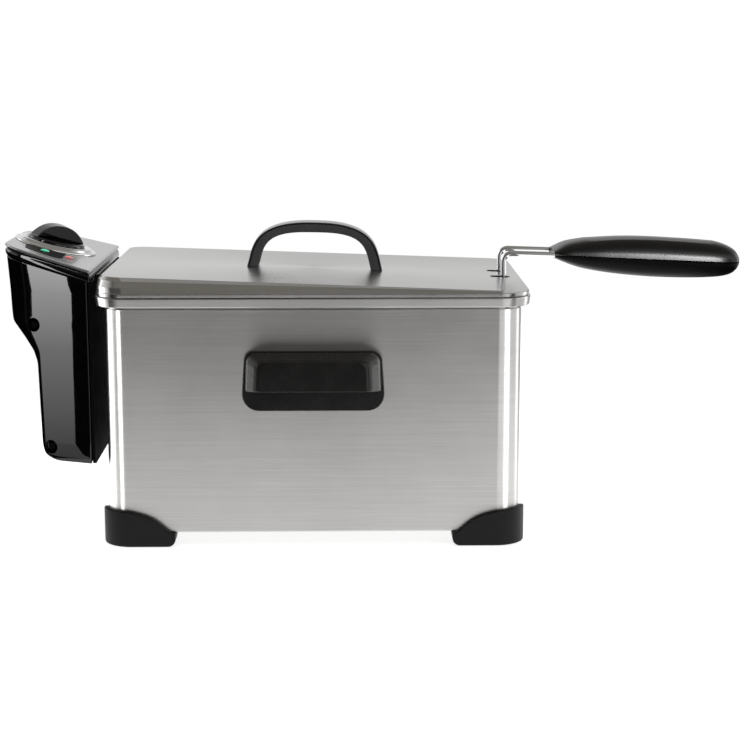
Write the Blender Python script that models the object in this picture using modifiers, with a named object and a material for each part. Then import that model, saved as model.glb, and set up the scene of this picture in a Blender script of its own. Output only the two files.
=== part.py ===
"""Electric deep fryer with a lift-off control unit, frying basket and lid.

Metres, +Z up. X runs along the body, from the control unit to the basket
handle. The body stands on its four feet at Z = 0.
"""
import math

import bmesh
import bpy
from mathutils import Matrix, Vector

# Driving dimensions, measured from the middle of the body
BODY_HX = 0.1605
BODY_HY = 0.1085
BODY_R = 0.0190
BODY_Z0 = 0.0113
BODY_Z1 = 0.1880
SHEET = 0.0009
RIM_HX = 0.1675
RIM_HY = 0.1145
RIM_Z0 = 0.1883
RIM_Z1 = 0.1953
LID_HX = 0.1665
LID_HY = 0.1136
LID_Z0 = 0.1957
LID_LEFT_Z = 0.2111
LID_RIGHT_Z = 0.1992
WIRE_X = 0.1530
WIRE_Y = 0.0180
WIRE_R = 0.0022
CONTROL_X = -0.1710
CONTROL_Z = 0.2135
CONTROL_SLOPE = 0.25
CONTROL_DEPTH = 0.0885
CONTROL_TAPER = 0.40
CONTROL_REAR_TAPER = 0.12
CONTROL_BOTTOM = 0.0612
CONTROL_TOP_RADII = (0.0260, 0.0540)
ARCH_SPLAY = 0.17
DIAL_X = -0.2110
BASKET_X = 0.0040
GAP = 0.0003
# Shift that puts the middle of the whole object's box on the origin
SHIFT_X = -0.0512

COLLECTION = None
CUTTERS = None


# ---------------------------------------------------------------- helpers
def clear_scene():
    for ob in list(bpy.data.objects):
        bpy.data.objects.remove(ob, do_unlink=True)
    for group in list(bpy.data.collections):
        bpy.data.collections.remove(group)


def make_collection(name):
    group = bpy.data.collections.new(name)
    bpy.context.scene.collection.children.link(group)
    return group


def material(name, color, metallic, roughness):
    mat = bpy.data.materials.new(name)
    mat.use_nodes = True
    shader = mat.node_tree.nodes["Principled BSDF"]
    shader.inputs["Base Color"].default_value = (*color, 1.0)
    shader.inputs["Metallic"].default_value = metallic
    shader.inputs["Roughness"].default_value = roughness
    return mat


def add_object(name, data, look):
    ob = bpy.data.objects.new(name, data)
    if look is None:
        CUTTERS.objects.link(ob)
        ob.hide_render = True
        ob.display_type = "WIRE"
        return ob
    COLLECTION.objects.link(ob)
    color, metallic, roughness = look
    ob.data.materials.append(material(name, color, metallic, roughness))
    return ob


def rounded(corners, radii, seg=4):
    """Points of a polygon whose corners are replaced by arcs."""
    points = []
    count = len(corners)
    for i in range(count):
        here = Vector(corners[i])
        back = (Vector(corners[i - 1]) - here).normalized()
        ahead = (Vector(corners[(i + 1) % count]) - here).normalized()
        half = back.angle(ahead) / 2.0
        radius = radii[i]
        centre = here + (back + ahead).normalized() * radius / math.sin(half)
        start = here + back * radius / math.tan(half) - centre
        end = here + ahead * radius / math.tan(half) - centre
        a0 = math.atan2(start.y, start.x)
        turn = math.atan2(end.y, end.x) - a0
        turn = (turn + math.pi) % (2.0 * math.pi) - math.pi
        for k in range(seg + 1):
            a = a0 + turn * k / seg
            points.append((centre.x + radius * math.cos(a), centre.y + radius * math.sin(a)))
    return points


def rect_loop(hx, hy, radius, z, seg=4, cx=0.0, cy=0.0):
    """Rounded rectangle at height z, which may be a function of x."""
    corners = [(cx - hx, cy - hy), (cx + hx, cy - hy), (cx + hx, cy + hy), (cx - hx, cy + hy)]
    flat = rounded(corners, [radius] * 4, seg)
    return [(x, y, z(x) if callable(z) else z) for x, y in flat]


def loft(name, loops, look, ring=False, smooth=True):
    """Skin loops of equal length. A ring joins its last loop to its first."""
    mesh = bpy.data.meshes.new(name)
    bm = bmesh.new()
    rows = [[bm.verts.new(p) for p in loop] for loop in loops]
    count = len(rows[0])
    pairs = list(zip(rows[:-1], rows[1:]))
    if ring:
        pairs.append((rows[-1], rows[0]))
    for low, high in pairs:
        for i in range(count):
            j = (i + 1) % count
            bm.faces.new((low[i], low[j], high[j], high[i]))
    if not ring:
        bm.faces.new(list(reversed(rows[0])))
        bm.faces.new(rows[-1])
    bmesh.ops.recalc_face_normals(bm, faces=bm.faces)
    for face in bm.faces:
        face.smooth = smooth
    bm.to_mesh(mesh)
    bm.free()
    mesh.set_sharp_from_angle(angle=math.radians(38))
    return add_object(name, mesh, look)


def curve_to_mesh(ob):
    """Replace a curve object by its mesh, with the loose caps welded."""
    bpy.context.view_layer.update()
    seen = ob.evaluated_get(bpy.context.evaluated_depsgraph_get())
    mesh = bpy.data.meshes.new_from_object(seen)
    bm = bmesh.new()
    bm.from_mesh(mesh)
    bmesh.ops.remove_doubles(bm, verts=bm.verts, dist=0.00001)
    bmesh.ops.recalc_face_normals(bm, faces=bm.faces)
    bm.to_mesh(mesh)
    bm.free()
    name = ob.name
    group = ob.users_collection[0]
    where = ob.matrix_world.copy()
    bpy.data.objects.remove(ob, do_unlink=True)
    solid = bpy.data.objects.new(name, mesh)
    group.objects.link(solid)
    solid.matrix_world = where
    return solid


def slab(name, outline, z0, z1, look):
    """Flat outline extruded from z0 to z1."""
    curve = bpy.data.curves.new(name, "CURVE")
    curve.dimensions = "2D"
    curve.fill_mode = "BOTH"
    curve.extrude = (z1 - z0) / 2.0
    line = curve.splines.new("POLY")
    line.points.add(len(outline) - 1)
    for point, (x, y) in zip(line.points, outline):
        point.co = (x, y, 0.0, 1.0)
    line.use_cyclic_u = True
    ob = curve_to_mesh(add_object(name, curve, look))
    ob.data.transform(Matrix.Translation((0.0, 0.0, (z0 + z1) / 2.0)))
    if look is None:
        ob.hide_render = True
        ob.display_type = "WIRE"
    return ob


def box(name, x0, x1, y0, y1, z0, z1, look, bevel=0.0):
    ob = cutter_boxes(name, [(x0, x1, y0, y1, z0, z1)], look)
    if bevel:
        round_edges(ob, bevel)
    return ob


def round_edges(ob, width, segments=1, angle=35):
    mod = ob.modifiers.new("rounded edges", "BEVEL")
    mod.width = width
    mod.segments = segments
    mod.limit_method = "ANGLE"
    mod.angle_limit = math.radians(angle)


def turned(name, profile, look, steps=20):
    """Solid of revolution about Z from a profile of (radius, z) points."""
    mesh = bpy.data.meshes.new(name)
    verts = [(r, 0.0, z) for r, z in profile]
    edges = [(i, i + 1) for i in range(len(verts) - 1)]
    if profile[0][0] > 0.0:
        edges.append((len(verts) - 1, 0))
    mesh.from_pydata(verts, edges, [])
    ob = add_object(name, mesh, look)
    spin = ob.modifiers.new("turned", "SCREW")
    spin.steps = steps
    spin.render_steps = steps
    spin.use_merge_vertices = True
    spin.merge_threshold = 0.00001
    spin.use_smooth_shade = True
    return ob


def rod(name, points, radius, look, resolution=2, cyclic=False):
    """Round bar along a line of points."""
    curve = bpy.data.curves.new(name, "CURVE")
    curve.dimensions = "3D"
    curve.bevel_depth = radius
    curve.bevel_resolution = resolution
    curve.use_fill_caps = True
    line = curve.splines.new("POLY")
    line.points.add(len(points) - 1)
    for point, co in zip(line.points, points):
        point.co = (*co, 1.0)
    line.use_cyclic_u = cyclic
    line.use_smooth = True
    return add_object(name, curve, look)


def bend(points, radius, seg=4):
    """Round the inner corners of a line of points."""
    path = [Vector(points[0])]
    for a, b, c in zip(points[:-2], points[1:-1], points[2:]):
        here = Vector(b)
        back = (Vector(a) - here).normalized()
        ahead = (Vector(c) - here).normalized()
        half = back.angle(ahead) / 2.0
        middle = here + (back + ahead).normalized() * radius / math.sin(half)
        start = here + back * radius / math.tan(half) - middle
        end = here + ahead * radius / math.tan(half) - middle
        sweep = start.angle(end)
        for k in range(seg + 1):
            t = k / seg
            mix = start * math.sin((1.0 - t) * sweep) + end * math.sin(t * sweep)
            path.append(middle + mix / math.sin(sweep))
    path.append(Vector(points[-1]))
    return path


def boolean(ob, cutter, operation="DIFFERENCE"):
    mod = ob.modifiers.new(operation.lower(), "BOOLEAN")
    mod.operation = operation
    mod.solver = "EXACT"
    mod.object = cutter
    return mod


def cutter_boxes(name, boxes, look=None):
    """Mesh of one or more separate boxes, a cutter unless it has a look."""
    mesh = bpy.data.meshes.new(name)
    bm = bmesh.new()
    for x0, x1, y0, y1, z0, z1 in boxes:
        middle = Vector(((x0 + x1) / 2, (y0 + y1) / 2, (z0 + z1) / 2))
        size = Matrix.Diagonal((x1 - x0, y1 - y0, z1 - z0, 1.0))
        bmesh.ops.create_cube(bm, size=1.0, matrix=Matrix.Translation(middle) @ size)
    bm.to_mesh(mesh)
    bm.free()
    return add_object(name, mesh, look)


def cutter_cylinders(name, specs, sides=14):
    """One cutter mesh of cylinders given as (centre, axis, radius, length)."""
    mesh = bpy.data.meshes.new(name)
    bm = bmesh.new()
    for centre, axis, radius, length in specs:
        turn = Vector((0, 0, 1)).rotation_difference(Vector(axis)).to_matrix().to_4x4()
        where = Matrix.Translation(Vector(centre)) @ turn
        bmesh.ops.create_cone(bm, cap_ends=True, segments=sides, radius1=radius,
                              radius2=radius, depth=length, matrix=where)
    bm.to_mesh(mesh)
    bm.free()
    return add_object(name, mesh, None)


# ---------------------------------------------------------------- looks
STEEL = ((0.62, 0.61, 0.60), 1.0, 0.32)
CHROME = ((0.80, 0.80, 0.81), 1.0, 0.10)
BLACK_GLOSS = ((0.012, 0.012, 0.013), 0.0, 0.12)
BLACK_SATIN = ((0.020, 0.020, 0.021), 0.0, 0.38)
SILVER_PLASTIC = ((0.52, 0.52, 0.53), 0.6, 0.28)
RUBBER = ((0.015, 0.015, 0.015), 0.0, 0.80)
ENAMEL = ((0.30, 0.30, 0.31), 0.9, 0.30)
ELEMENT = ((0.16, 0.15, 0.14), 0.9, 0.45)
ZINC = ((0.55, 0.55, 0.53), 1.0, 0.40)
BRASS = ((0.60, 0.45, 0.18), 1.0, 0.30)
BAKELITE = ((0.030, 0.024, 0.020), 0.0, 0.55)
CERAMIC = ((0.80, 0.78, 0.72), 0.0, 0.45)
GREEN = ((0.05, 0.55, 0.28), 0.0, 0.15)
RED = ((0.60, 0.05, 0.04), 0.0, 0.15)


# ---------------------------------------------------------------- body
def build_housing():
    t = SHEET
    loops = []
    sections = [(0.0, BODY_Z0), (0.0, BODY_Z1), (t, BODY_Z1), (t, BODY_Z0 + t),
                (0.0100, BODY_Z0 + t), (0.0100, BODY_Z0)]
    for inset, z in sections:
        loops.append(rect_loop(BODY_HX - inset, BODY_HY - inset, BODY_R - inset, z, 6))
    shell = loft("housing_shell", loops, STEEL, ring=True)
    slots = []
    for side in (-1, 1):
        for x in (-0.030, 0.030):
            y = sorted((side * 0.100, side * 0.112))
            slots.append((x - 0.0056, x + 0.0056, y[0], y[1], 0.1296, 0.1364))
    boolean(shell, cutter_boxes("cut_grip_slots", slots))


def build_base_plate():
    hx = BODY_HX - SHEET - 0.0006
    hy = BODY_HY - SHEET - 0.0006
    z0 = BODY_Z0 + SHEET + GAP
    outline = rounded([(-hx, -hy), (hx, -hy), (hx, hy), (-hx, hy)], [0.0170] * 4, 4)
    plate = slab("base_plate", outline, z0, z0 + SHEET, ZINC)
    vents = []
    for k in range(6):
        x = -0.075 + 0.030 * k
        vents.append((x - 0.0025, x + 0.0025, -0.045, 0.045, z0 - 0.004, z0 + 0.004))
    boolean(plate, cutter_boxes("cut_base_vents", vents))


def foot_path(out, step_count=6):
    """Points round one body corner, offset outwards, from tip to tip."""
    length = 0.0530
    points = []
    straights = [0.0, 0.0008, 0.0025, 0.0060, 0.0110, 0.0170, 0.0230]
    for s in straights:
        points.append((s, BODY_HX - length + s, BODY_HY + out))
    corner_x = BODY_HX - BODY_R
    corner_y = BODY_HY - BODY_R
    radius = BODY_R + out
    reach = length - BODY_R
    for k in range(step_count + 1):
        a = math.pi / 2 * (1.0 - k / step_count)
        s = reach + BODY_R * k / step_count
        points.append((s, corner_x + radius * math.cos(a), corner_y + radius * math.sin(a)))
    end = 2.0 * reach + BODY_R
    for s in reversed(straights):
        points.append((end - s, BODY_HX + out, BODY_HY - length + s))
    return [(min(s, end - s), x, y) for s, x, y in points]


def foot_top(t):
    table = [(0.0, 0.0102), (0.0006, 0.0108), (0.005, 0.0132), (0.0095, 0.0172),
             (0.015, 0.0214), (0.021, 0.0246), (0.032, 0.0280), (0.042, 0.0298), (1.0, 0.0300)]
    for (t0, z0), (t1, z1) in zip(table[:-1], table[1:]):
        if t <= t1:
            return z0 + (z1 - z0) * (t - t0) / (t1 - t0)
    return table[-1][1]


def foot_bottom(t):
    base = 0.0008
    round_off = 0.0060
    if t >= round_off:
        return base
    return base + 0.0062 * (1.0 - math.sqrt(1.0 - (1.0 - t / round_off) ** 2))


def build_feet():
    out = 0.0043
    outer = foot_path(out)
    middle = foot_path(out - 0.0010)
    inner = foot_path(GAP)
    under = foot_path(-0.0140)
    names = {(-1, -1): "front_left", (1, -1): "front_right", (1, 1): "rear_right", (-1, 1): "rear_left"}
    for (sx, sy), corner in names.items():
        loops = []
        for a, m, b, c in zip(outer, middle, inner, under):
            top = foot_top(a[0])
            low = foot_bottom(a[0])
            ledge = min(BODY_Z0 - GAP, top - 0.0002)
            section = [(a, low + 0.0008), (a, top - 0.0010), (m, top), (b, top), (b, ledge),
                       (c, ledge), (c, low), (m, low)]
            loops.append([(sx * p[1], sy * p[2], z) for p, z in section])
        foot = loft("foot_" + corner, loops, BLACK_SATIN)
        px = sx * (BODY_HX - 0.0200)
        py = sy * (BODY_HY - 0.0150)
        spot = Matrix.Translation((px, py, 0.0))
        pocket = cutter_cylinders("cut_pad_" + corner, [((px, py, 0.0), (0, 0, 1), 0.0068, 0.0050)], 16)
        boolean(foot, pocket)
        pad = turned("foot_pad_" + corner, [(0.0, 0.0021), (0.0062, 0.0021), (0.0064, 0.0006),
                                            (0.0058, 0.0), (0.0, 0.0)], RUBBER, 14)
        pad.matrix_world = spot


def grip_loop(half, z_low, z_high, radius, y, side, flare=0.0):
    corners = [(-half - flare, z_low), (half + flare, z_low), (half, z_high), (-half, z_high)]
    flat = rounded(corners, [0.0006, 0.0006, radius, radius], 3)
    return [(x, side * y, z) for x, z in flat]


def build_side_grips():
    face = BODY_HY + GAP
    for side, label in ((-1, "front"), (1, "rear")):
        plate_corners = [(-0.0555, 0.1080), (0.0555, 0.1080), (0.0525, 0.1545), (-0.0525, 0.1545)]
        flat = rounded(plate_corners, [0.0130, 0.0130, 0.0080, 0.0080], 4)
        layers = [(1.0, face), (1.0, face + 0.0016), (0.985, face + 0.0024)]
        loops = []
        for shrink, y in layers:
            loops.append([(x * shrink, side * y, 0.1313 + (z - 0.1313) * shrink) for x, z in flat])
        name = "side_grip_" + label
        grip = loft(name, loops, BLACK_SATIN)
        shape = [(0.0520, 0.1235, 0.1540, 0.0080, face + 0.0008, 0.0012),
                 (0.0500, 0.1240, 0.1528, 0.0080, face + 0.0080, 0.0012),
                 (0.0440, 0.1256, 0.1500, 0.0070, face + 0.0170, 0.0010),
                 (0.0412, 0.1263, 0.1484, 0.0060, face + 0.0192, 0.0008),
                 (0.0385, 0.1266, 0.1462, 0.0050, face + 0.0200, 0.0006)]
        hood = loft("cut_hood_" + label, [grip_loop(h, a, b, r, y, side, f)
                                          for h, a, b, r, y, f in shape], None)
        boolean(grip, hood, "UNION")
        pocket = [(0.0485, 0.1050, 0.1500, 0.0060, face + 0.0026, 0.0012),
                  (0.0470, 0.1050, 0.1494, 0.0060, face + 0.0080, 0.0012),
                  (0.0405, 0.1050, 0.1468, 0.0050, face + 0.0168, 0.0010)]
        hollow = loft("cut_pocket_" + label, [grip_loop(h, a, b, r, y, side, f)
                                              for h, a, b, r, y, f in pocket], None)
        boolean(grip, hollow)
        lugs = []
        for x in (-0.030, 0.030):
            y = sorted((side * (face + 0.0010), side * 0.1035))
            lugs.append((x - 0.0050, x + 0.0050, y[0], y[1], 0.1300, 0.1360))
        boolean(grip, cutter_boxes("cut_lugs_" + label, lugs), "UNION")
        for x, place in ((-0.030, "left"), (0.030, "right")):
            clip = [(x - 0.0090, 0.1240), (x + 0.0090, 0.1240), (x + 0.0090, 0.1420), (x - 0.0090, 0.1420)]
            part = slab("grip_clip_%s_%s" % (label, place), rounded(clip, [0.0020] * 4, 2),
                        0.0, 0.0010, ZINC)
            stand = Matrix.Translation((0.0, side * 0.1066 + (0.0 if side > 0 else 0.0010), 0.0))
            part.matrix_world = stand @ Matrix.Rotation(math.pi / 2, 4, "X")
            boolean(part, cutter_boxes("cut_clip_%s_%s" % (label, place),
                                       [(x - 0.0054, x + 0.0054, side * 0.106 - 0.008,
                                         side * 0.106 + 0.008, 0.1297, 0.1363)]))


# ---------------------------------------------------------------- oil pan
def build_pan():
    ring = [(0.1275, 0.0778, 0.0120, 0.0360), (0.1405, 0.0908, 0.0240, 0.0395),
            (0.1465, 0.0968, 0.0300, 0.0500), (0.1465, 0.0968, 0.0300, 0.1580),
            (0.1590, 0.1070, 0.0175, 0.1660), (0.1590, 0.1070, 0.0175, RIM_Z0),
            (RIM_HX, RIM_HY, 0.0240, RIM_Z0), (RIM_HX, RIM_HY, 0.0240, RIM_Z1 - 0.0014),
            (RIM_HX - 0.0014, RIM_HY - 0.0014, 0.0230, RIM_Z1), (0.1581, 0.1061, 0.0166, RIM_Z1),
            (0.1581, 0.1061, 0.0166, 0.1665), (0.1456, 0.0959, 0.0291, 0.1586),
            (0.1456, 0.0959, 0.0291, 0.0506), (0.1398, 0.0901, 0.0234, 0.0403),
            (0.1270, 0.0773, 0.0116, 0.0369)]
    loft("oil_pan", [rect_loop(hx, hy, r, z, 5) for hx, hy, r, z in ring], ENAMEL)


# ---------------------------------------------------------------- lid
def lid_top(x):
    return LID_LEFT_Z + (x + BODY_HX) * (LID_RIGHT_Z - LID_LEFT_Z) / (2.0 * BODY_HX)


def build_lid():
    loops = [rect_loop(LID_HX, LID_HY, 0.0232, LID_Z0, 5),
             rect_loop(0.1648, 0.1052, 0.0210, lambda x: lid_top(x) - 0.0026, 5),
             rect_loop(0.1638, 0.1040, 0.0202, lambda x: lid_top(x) - 0.0008, 5),
             rect_loop(0.1620, 0.1024, 0.0190, lid_top, 5)]
    shell = loft("lid_shell", loops, STEEL)
    hollow = [rect_loop(LID_HX - 0.0011, LID_HY - 0.0012, 0.0222, LID_Z0 - 0.0010, 5),
              rect_loop(0.1636, 0.1043, 0.0202, lambda x: lid_top(x) - 0.0034, 5),
              rect_loop(0.1610, 0.1016, 0.0182, lambda x: lid_top(x) - 0.0010, 5)]
    boolean(shell, loft("cut_lid_hollow", hollow, None))
    boolean(shell, cutter_boxes("cut_lid_notch", [(-0.175, -0.152, -0.0390, 0.0390, 0.185, 0.2052)]))
    for side, label in ((-1, "front"), (1, "rear")):
        mid = side * WIRE_Y
        corners = [(0.1427, mid - 0.0036), (0.1578, mid - 0.0036), (0.1578, mid + 0.0036),
                   (0.1427, mid + 0.0036)]
        outline = rounded(corners, [0.0034] * 4, 3)
        loops = [[(x, y, z) for x, y in outline] for z in (0.190, 0.210)]
        boolean(shell, loft("cut_lid_slot_" + label, loops, None))
    holes = [((x, 0.0, 0.205), (0, 0, 1), 0.0023, 0.02) for x in (-0.0500, 0.0500)]
    boolean(shell, cutter_cylinders("cut_lid_holes", holes, 10))


def arch_line(half, foot, crown, side_power, top_power, count):
    """Points of an arch from +X over the crown to -X, with splayed legs."""
    points = []
    for k in range(count + 1):
        a = math.pi * k / count
        c = math.cos(a)
        share = math.sin(a) ** (2.0 / top_power) if 0 < k < count else 0.0
        x = half * math.copysign(abs(c) ** (2.0 / side_power), c) * (1.0 + ARCH_SPLAY * (1.0 - share))
        z = foot + (crown - foot) * share - 0.02 * x
        points.append((x, max(z, lid_top(x) + GAP)))
    return points


def build_lid_handle():
    outer = arch_line(0.0470, 0.2045, 0.2430, 2.5, 4.0, 22)
    inner = arch_line(0.0390, 0.2045, 0.2347, 3.0, 4.6, 18)
    outline = outer + list(reversed(inner))
    arch = slab("lid_handle", outline, -0.0100, 0.0100, ((0.045, 0.046, 0.050), 0.0, 0.30))
    arch.matrix_world = Matrix.Rotation(math.pi / 2, 4, "X")
    round_edges(arch, 0.0014, 1, 55)
    bores = [((x, lid_top(x) + 0.004, 0.0), (0, 1, 0), 0.0019, 0.018) for x in (-0.0500, 0.0500)]
    lean = cutter_cylinders("cut_handle_bores", bores, 10)
    lean.matrix_world = Matrix.Rotation(math.pi / 2, 4, "X")
    boolean(arch, lean)
    for x, label in ((-0.0500, "left"), (0.0500, "right")):
        under = lid_top(x) - 0.0010
        screw = turned("lid_screw_" + label, [(0.0, 0.0095), (0.0016, 0.0095), (0.0016, -0.0006),
                                              (0.0040, -0.0006), (0.0036, -0.0026), (0.0, -0.0026)], ZINC, 12)
        screw.matrix_world = Matrix.Translation((x, 0.0, under))


# ---------------------------------------------------------------- basket
def basket_loop(hx, hy, radius, z):
    return rect_loop(hx, hy, radius, z, 5, BASKET_X)


def build_basket():
    outer = [(0.1120, 0.0670, 0.0200, 0.0715), (0.1190, 0.0740, 0.0260, 0.0740),
             (0.1220, 0.0775, 0.0290, 0.0820), (0.1280, 0.0850, 0.0300, 0.1725)]
    inner = [(0.1266, 0.0836, 0.0286, 0.1725), (0.1206, 0.0761, 0.0276, 0.0824),
             (0.1182, 0.0732, 0.0252, 0.0752), (0.1116, 0.0666, 0.0196, 0.0729)]
    loft("basket_shell", [basket_loop(*row) for row in outer + inner], CHROME)
    rim = [(p[0], p[1], 0.1752) for p in basket_loop(0.1296, 0.0866, 0.0310, 0.0)]
    rod("basket_rim", rim, WIRE_R, CHROME, 2, True)
    for side, label in ((-1, "front"), (1, "rear")):
        y = side * 0.0480
        x0 = BASKET_X - 0.1100
        x1 = BASKET_X + 0.1100
        rod("basket_foot_" + label, [(x0, y, 0.0690), (x1, y, 0.0690)], 0.0020, CHROME, 1)


def build_socket():
    """Bracket on the basket's end with two upright tubes for the handle."""
    z0 = 0.1680
    z1 = 0.1840
    bracket = box("handle_socket", 0.1363, 0.1378, -0.0260, 0.0260, z0 - 0.012, z0 + 0.0045, STEEL)
    arms = []
    for side in (-1, 1):
        mid = side * WIRE_Y
        arms.append((0.1370, 0.1515, mid - 0.0012, mid + 0.0012, z0 + 0.0003, z0 + 0.0040))
    boolean(bracket, cutter_boxes("cut_socket_arms", arms), "UNION")
    mid_z = (z0 + z1) / 2
    places = [(WIRE_X, side * WIRE_Y, mid_z) for side in (-1, 1)]
    tubes = cutter_cylinders("cut_socket_tubes", [(p, (0, 0, 1), 0.0032, z1 - z0) for p in places], 14)
    boolean(bracket, tubes, "UNION")
    bores = cutter_cylinders("cut_socket_bores", [((x, y, z + 0.0020), (0, 0, 1), 0.0026, z1 - z0)
                                                  for x, y, z in places], 14)
    boolean(bracket, bores)


GRIP = [(0.1945, 0.2208, 0.2136, 0.0212), (0.2040, 0.2256, 0.2096, 0.0226), (0.2160, 0.2281, 0.2055, 0.0232),
        (0.2300, 0.2299, 0.2026, 0.0236), (0.2450, 0.2310, 0.2004, 0.0236), (0.2600, 0.2313, 0.1988, 0.0235),
        (0.2760, 0.2309, 0.1976, 0.0233), (0.2920, 0.2299, 0.1970, 0.0231), (0.3080, 0.2286, 0.1968, 0.0228),
        (0.3220, 0.2269, 0.1971, 0.0222), (0.3320, 0.2248, 0.1979, 0.0212), (0.3395, 0.2218, 0.1998, 0.0192),
        (0.3436, 0.2188, 0.2030, 0.0165), (0.3458, 0.2155, 0.2066, 0.0125), (0.3470, 0.2131, 0.2089, 0.0080)]


def seam_z(x):
    return 0.2173 - (x - 0.1940) * 0.0411


def grip_section(x, seam, tip, half, sign):
    """Half section of the grip, closed along the seam."""
    rise = tip - seam
    points = []
    shape = [(-1.0, 0.0), (-1.0, 0.35), (-0.93, 0.68), (-0.74, 0.91), (-0.40, 0.99), (0.0, 1.0),
             (0.40, 0.99), (0.74, 0.91), (0.93, 0.68), (1.0, 0.35), (1.0, 0.0)]
    for across, up in shape:
        points.append((x, across * half, seam + sign * GAP * 0.5 + rise * up))
    return points


def build_handle():
    for side, label in ((-1, "front"), (1, "rear")):
        y = side * WIRE_Y
        points = [(WIRE_X, y, 0.1710), (WIRE_X, y, 0.2186), (0.1940, y, 0.2172), (0.2380, y, 0.2154)]
        path = bend(points, 0.0065)
        rod("handle_wire_" + label, path, WIRE_R, CHROME, 2)
    upper = loft("grip_upper", [grip_section(x, seam_z(x), top, half, 1) for x, top, low, half in GRIP],
                 BLACK_SATIN)
    lower = loft("grip_lower", [grip_section(x, seam_z(x), low, half, -1) for x, top, low, half in GRIP],
                 BLACK_SATIN)
    tilt = (1.0, 0.0, -0.0411)
    specs = [((0.2150, side * WIRE_Y, 0.2163), tilt, WIRE_R + 0.0003, 0.0560) for side in (-1, 1)]
    for ob, label in ((upper, "upper"), (lower, "lower")):
        boolean(ob, cutter_cylinders("cut_grip_" + label, specs, 14))
    hole = cutter_cylinders("cut_grip_screw", [((0.2800, 0.0, 0.2000), (0, 0, 1), 0.0032, 0.0120)], 12)
    boolean(lower, hole)
    screw = turned("grip_screw", [(0.0, 0.0030), (0.0026, 0.0030), (0.0028, 0.0012), (0.0020, 0.0),
                                  (0.0, 0.0)], ZINC, 12)
    screw.matrix_world = Matrix.Translation((0.2800, 0.0, 0.2020))


# ---------------------------------------------------------------- control unit
def control_height(x):
    return CONTROL_Z + CONTROL_SLOPE * (CONTROL_X - x)


def side_half(x, sign):
    """Half width of the control unit at x; the front side tapers more."""
    taper = CONTROL_TAPER if sign < 0 else CONTROL_REAR_TAPER
    return CONTROL_DEPTH - taper * (CONTROL_X - x)


def side_normal(sign):
    taper = CONTROL_TAPER if sign < 0 else CONTROL_REAR_TAPER
    return Vector((-taper, sign, 0.0)).normalized()


def plan_loop(reach, inset, z, right=CONTROL_X - 0.0024, radii=CONTROL_TOP_RADII):
    """Outline of the control unit: a blunt wedge, widest beside the body."""
    near = right - inset
    far = -(reach - inset)
    front = inset / -side_normal(-1).y
    rear = inset / side_normal(1).y
    corners = [(near, front - side_half(near, -1)), (near, side_half(near, 1) - rear),
               (far, side_half(far, 1) - rear), (far, front - side_half(far, -1))]
    small = max(0.0016 - inset, 0.0006)
    tip = max(radii[0] - inset, 0.0008)
    flat = rounded(corners, [small, small, radii[1] - inset, tip], 5)
    return [(x, y, z(x) if callable(z) else z) for x, y in flat]


def cap_height(drop):
    return lambda x: control_height(x) - drop


def gland_frame():
    """Place and turn of the cable gland on the rear side."""
    place = Matrix.Translation((-0.1930, side_half(-0.1930, 1), 0.0900))
    turn = Vector((0, 0, 1)).rotation_difference(side_normal(1)).to_matrix().to_4x4()
    return place, turn


# Cover screws: X, Z and side
SCREW_WELLS = ((-0.2190, 0.1690, -1), (-0.1940, 0.1690, 1), (-0.2078, 0.0722, -1), (-0.1940, 0.0722, 1))


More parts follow.
